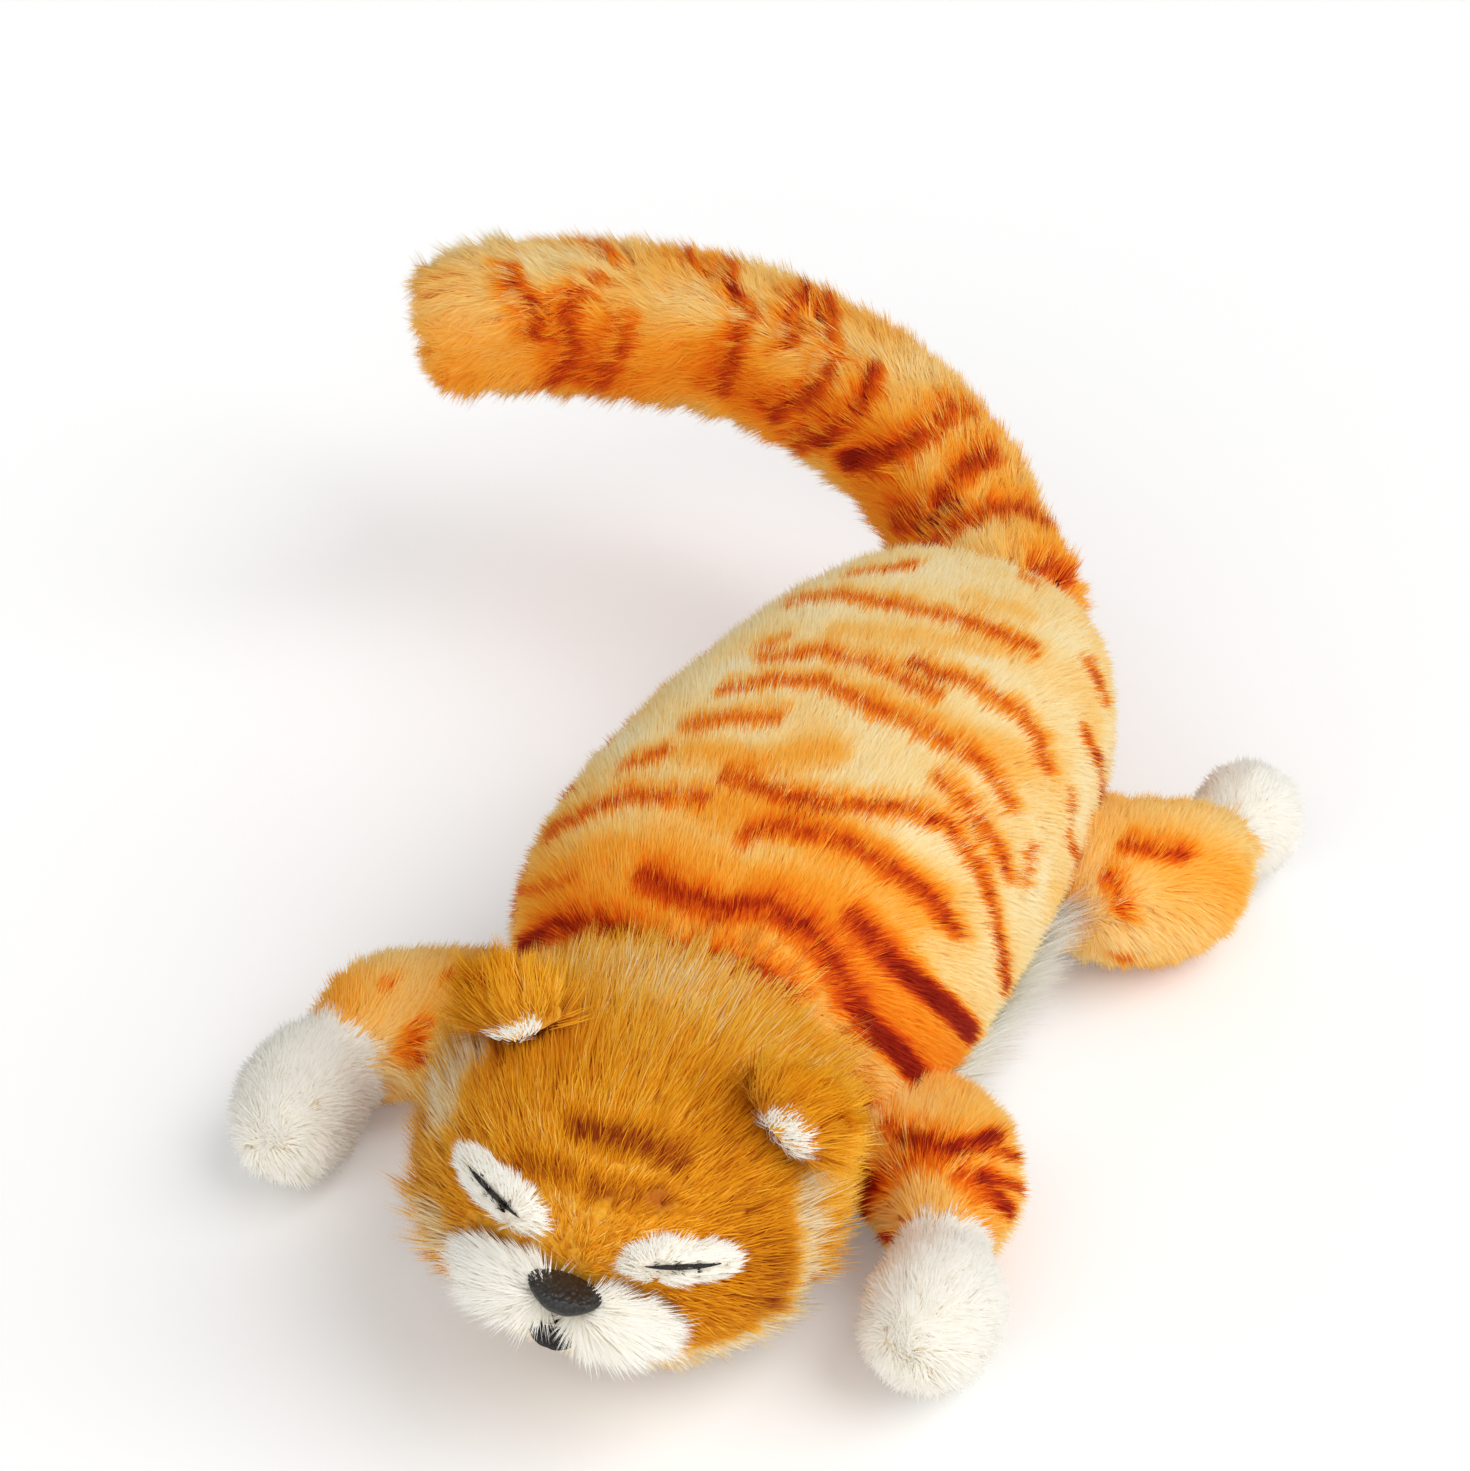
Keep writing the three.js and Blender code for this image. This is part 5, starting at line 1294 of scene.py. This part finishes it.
nose_finish = pebbled_finish("nose_pebble", "#2A2724", "#12110F", 0.42, 900, 0.5 * MM)
mouth_finish = pebbled_finish("mouth_felt", "#2C2826", "#161413", 0.9, 1600, 0.2 * MM)
lid_finish = pebbled_finish("lid_felt", "#35322E", "#1C1A18", 0.9, 1600, 0.2 * MM)
print("face finishes ready")

# %% Nose and mouth
def face_pad(name, node, taper, flatten, finish):
    """A rounded pad in the place of a solid, broader at its top by taper and cut flatter there."""
    middle, half = face_span(node)
    shape = bmesh.new()
    add_ball(shape, 36, 24, 1)
    for vert in shape.verts:
        across, inward, up = vert.co
        across *= 1 + taper * up
        up = min(up, flatten) + 0.35 * max(up - flatten, 0)
        groove = 0.12 * math.exp(-(across / 0.16) ** 2) * max(-up, 0)
        vert.co = Vector(middle + face_across * across * half[0] - face_out * (inward + groove) * half[1]
                         + face_up * up * half[2])
    pad = object_from(name, shape)
    pad.data.shade_smooth()
    pad.data.materials.append(finish)
    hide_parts(node)
    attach(pad, "head")
    return pad


nose_pad = face_pad("nose_pad", "nose", 0.45, 0.35, nose_finish)
mouth_pad = face_pad("mouth_lens", "mouth", 0.1, 0.6, mouth_finish)
print("nose and mouth", len(nose_pad.data.polygons), len(mouth_pad.data.polygons), "faces")

# %% Lids
LID_VOXEL = 0.3 * MM
LASH_LENGTH = 2 * MM
LASH_DENSITY = 150e3

for number, side in enumerate(("left", "right")):
    lid = stuffed_cover("lid_cover_" + side, ["eyelid_" + side], 0, 0.1 * MM, LID_VOXEL)
    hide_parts("eyelid_" + side)
    lid.data.materials.clear()
    lid.data.materials.append(lid_finish)
    points, normals = points_of(lid), normals_of(lid)
    lash_comb = combed(normals, points - nose_middle, 20)
    lashes = grow_pile("lashes_" + side, lid, fine_tuft, LASH_DENSITY, LASH_LENGTH, 0, lash_comb, True,
                       white_tone, black_pile, 85 + number)
    for piece in (lid, lashes):
        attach(piece, "head")

# %% [markdown]
# ## The tail's pile
#
# The tail is deeper in colour, with dark stripes at its root and a tan, ruffled tip. The nap runs along
# the tail's middle line, which was given with its stripes.

# %% The tail's pile
TAIL_PILE = 12 * MM
TAIL_HALFWAY = -95 * MM
TAIL_DENSITY = 300e3


def tail_tone(points):
    """The tail's dye: orange gold, painted paler on top as painted light from above, tan at the tip, then
    its stripes.
    """
    nearest, _ = on_tail_path(points)
    # Painted light: the tail's top is dyed paler where light from above falls on it.
    top = smooth_step(points[:, 2] - nearest[:, 2], 5 * MM, 24 * MM)
    tip = smooth_step(-points[:, 0], 150 * MM, 210 * MM)
    ground = 0.36 + 0.3 * ripple(points, 8 * MM, 7.0) - 0.16 * top - 0.1 * tip
    share, dark = stripe_share(points, tail_marks)
    return ground + (dark + STRIPE_DEEPER - ground) * share


points, normals = points_of(tail_cover), normals_of(tail_cover)
nearest, heading = on_tail_path(points)
curl = np.stack([ripple(points, 2 * CURL, phase) - 0.5 for phase in (4, 5, 6)], 1)
tail_comb = combed(normals, heading + 0.02 * (points - nearest) / MM + 1.6 * curl, 27)
colour_cover(tail_cover, tail_tone, striped_ground, TAIL_PILE_DEPTH)
shown = ~buried(torso_surface, points, 6 * MM)
tip_half = points[:, 0] < TAIL_HALFWAY
tail_piles = [
    grow_pile("tail_root_pile", tail_cover, plush_tuft, TAIL_DENSITY, TAIL_PILE, TAIL_PILE_DEPTH, tail_comb,
              shown & ~tip_half, tail_tone, striped_pile, 91, 0.3),
    grow_pile("tail_tip_pile", tail_cover, plush_tuft, TAIL_DENSITY, TAIL_PILE, TAIL_PILE_DEPTH, tail_comb,
              shown & tip_half, tail_tone, striped_pile, 92, 0.4),
]
for piece in [tail_cover] + tail_piles:
    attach(piece, "tail")
for tuft in (plush_tuft, long_tuft, fine_tuft):
    bpy.data.objects.remove(tuft)

# %% [markdown]
# ## Tape and works
#
# The flap closes with a strip of hook tape on a strip of loop tape. Both are flat woven straps, so they
# are copies of their solids with softened edges and a weave in the material. The works behind the flap
# keep their solids, and only need finishes: moulded plastic, drawn steel, brass, a lacquered board and
# wrapped cells.

# %% The flap's tape
tape_finish = pebbled_finish("tape_loops", "#DEDCD4", "#A9A69C", 0.95, 1400, 0.5 * MM)
for tape, body in (("hook_tape", "belly_flap"), ("loop_tape", "torso")):
    strip = joined_copy(tape + "_strip", [tape])
    soften = strip.modifiers.new("Soften", "BEVEL")
    soften.width = 0.3 * MM
    soften.segments = 2
    settle(strip)
    strip.data.materials.clear()
    strip.data.materials.append(tape_finish)
    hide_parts(tape)
    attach(strip, body)
print("tape strips ready")

# %% Finishes of the works
WORKS = {
    "housing_plastic": ("#DAD8D0", "#CBC8BE", 0.5, 0, 900, (1, 1, 1)),
    "gear_plastic": ("#F4F0E8", "#E6E0D4", 0.35, 0, 500, (1, 1, 1)),
    "steel": ("#C3C5C9", "#A5A8AD", 0.32, 1, 400, (1, 12, 1)),
    "brass": ("#D4B468", "#B08F46", 0.3, 1, 400, (1, 12, 1)),
    "board": ("#34734A", "#225535", 0.45, 0, 260, (1, 1, 1)),
    "black_plastic": ("#2B2B2E", "#1A1A1C", 0.5, 0, 900, (1, 1, 1)),
    "cell_wrap": ("#445872", "#303F55", 0.25, 0, 120, (8, 1, 1)),
}


def works_finish(name, light, dark, roughness, metallic, grain, stretch):
    """A hard finish whose colour, roughness and surface drift with one grain."""
    finish, nodes, links, shader = new_finish(name, roughness)
    shader.inputs["Metallic"].default_value = metallic
    place = nodes.new("ShaderNodeTexCoord")
    scale = nodes.new("ShaderNodeMapping")
    scale.inputs["Scale"].default_value = stretch
    links.new(place.outputs["Object"], scale.inputs["Vector"])
    drift = nodes.new("ShaderNodeTexNoise")
    drift.inputs["Scale"].default_value = grain
    links.new(scale.outputs["Vector"], drift.inputs["Vector"])
    colour = dye_ramp(nodes, [(0.35, dark), (0.65, light)])
    links.new(drift.outputs["Fac"], colour.inputs["Fac"])
    links.new(colour.outputs["Color"], shader.inputs["Base Color"])
    gloss = nodes.new("ShaderNodeMapRange")
    gloss.inputs["To Min"].default_value = roughness - 0.08
    gloss.inputs["To Max"].default_value = roughness + 0.12
    links.new(drift.outputs["Fac"], gloss.inputs["Value"])
    links.new(gloss.outputs["Result"], shader.inputs["Roughness"])
    raise_grain(nodes, links, shader, drift.outputs["Fac"], 0.25, 0.1 * MM)
    return finish


works_finishes = {slot: works_finish("works_" + slot, *values) for slot, values in WORKS.items()}
dressed = 0
for solid in frame["nodes"].values():
    slot = solid.material_slots[0].material.name
    if slot in works_finishes:
        solid.material_slots[0].material = works_finishes[slot]
        dressed += 1
print("solids with a works finish", dressed)

# %% [markdown]
# ## Floor, light and background
#
# A product photograph like this one is taken on a white sweep. The floor is pale, and to the camera it
# and the world are nearly white, while the light on the cat stays plain. The key light stands to the
# right behind the cat, so its soft shadow falls to the left.

# %% Floor
FLOOR_SIZE = 6
FLOOR_COLOUR = (0.9, 0.9, 0.9, 1)
FLOOR_GLOW = 0.1
SKY_STRENGTH = 0.4

floor_shape = bmesh.new()
bmesh.ops.create_grid(floor_shape, x_segments=1, y_segments=1, size=FLOOR_SIZE)
floor = object_from("floor", floor_shape)

floor_finish, nodes, links, shader = new_finish("white_sweep", 0.9)
shader.inputs["Base Color"].default_value = FLOOR_COLOUR
rays = nodes.new("ShaderNodeLightPath")
glow = nodes.new("ShaderNodeEmission")
glow.inputs["Strength"].default_value = FLOOR_GLOW
both = nodes.new("ShaderNodeAddShader")
links.new(shader.outputs[0], both.inputs[0])
links.new(glow.outputs[0], both.inputs[1])
choose = nodes.new("ShaderNodeMixShader")
links.new(rays.outputs["Is Camera Ray"], choose.inputs[0])
links.new(shader.outputs[0], choose.inputs[1])
links.new(both.outputs[0], choose.inputs[2])
links.new(choose.outputs[0], nodes["Material Output"].inputs["Surface"])
floor.data.materials.append(floor_finish)

# %% World and lamps
world = bpy.data.worlds.new("studio")
scene.world = world
world.use_nodes = True
nodes, links = world.node_tree.nodes, world.node_tree.links
sky = nodes["Background"]
sky.inputs["Color"].default_value = (1, 1, 1, 1)
sky.inputs["Strength"].default_value = SKY_STRENGTH
white = nodes.new("ShaderNodeBackground")
white.inputs["Color"].default_value = (1, 1, 1, 1)
rays = nodes.new("ShaderNodeLightPath")
pick_sky = nodes.new("ShaderNodeMixShader")
links.new(rays.outputs["Is Camera Ray"], pick_sky.inputs[0])
links.new(sky.outputs[0], pick_sky.inputs[1])
links.new(white.outputs[0], pick_sky.inputs[2])
links.new(pick_sky.outputs[0], nodes["World Output"].inputs["Surface"])


def lamp(name, strength, angle, direction):
    """A soft sun that shines along a direction."""
    light = bpy.data.lights.new(name, "SUN")
    light.energy = strength
    light.angle = math.radians(angle)
    holder = bpy.data.objects.new(name, light)
    holder.rotation_euler = Vector(direction).to_track_quat("-Z", "Y").to_euler()
    scene.collection.objects.link(holder)


lamp("key_light", 1.7, 55, (-0.85, -0.2, -1.0))
lamp("front_light", 1.5, 70, (-0.2, 0.9, -0.45))
print("world and lamps ready")
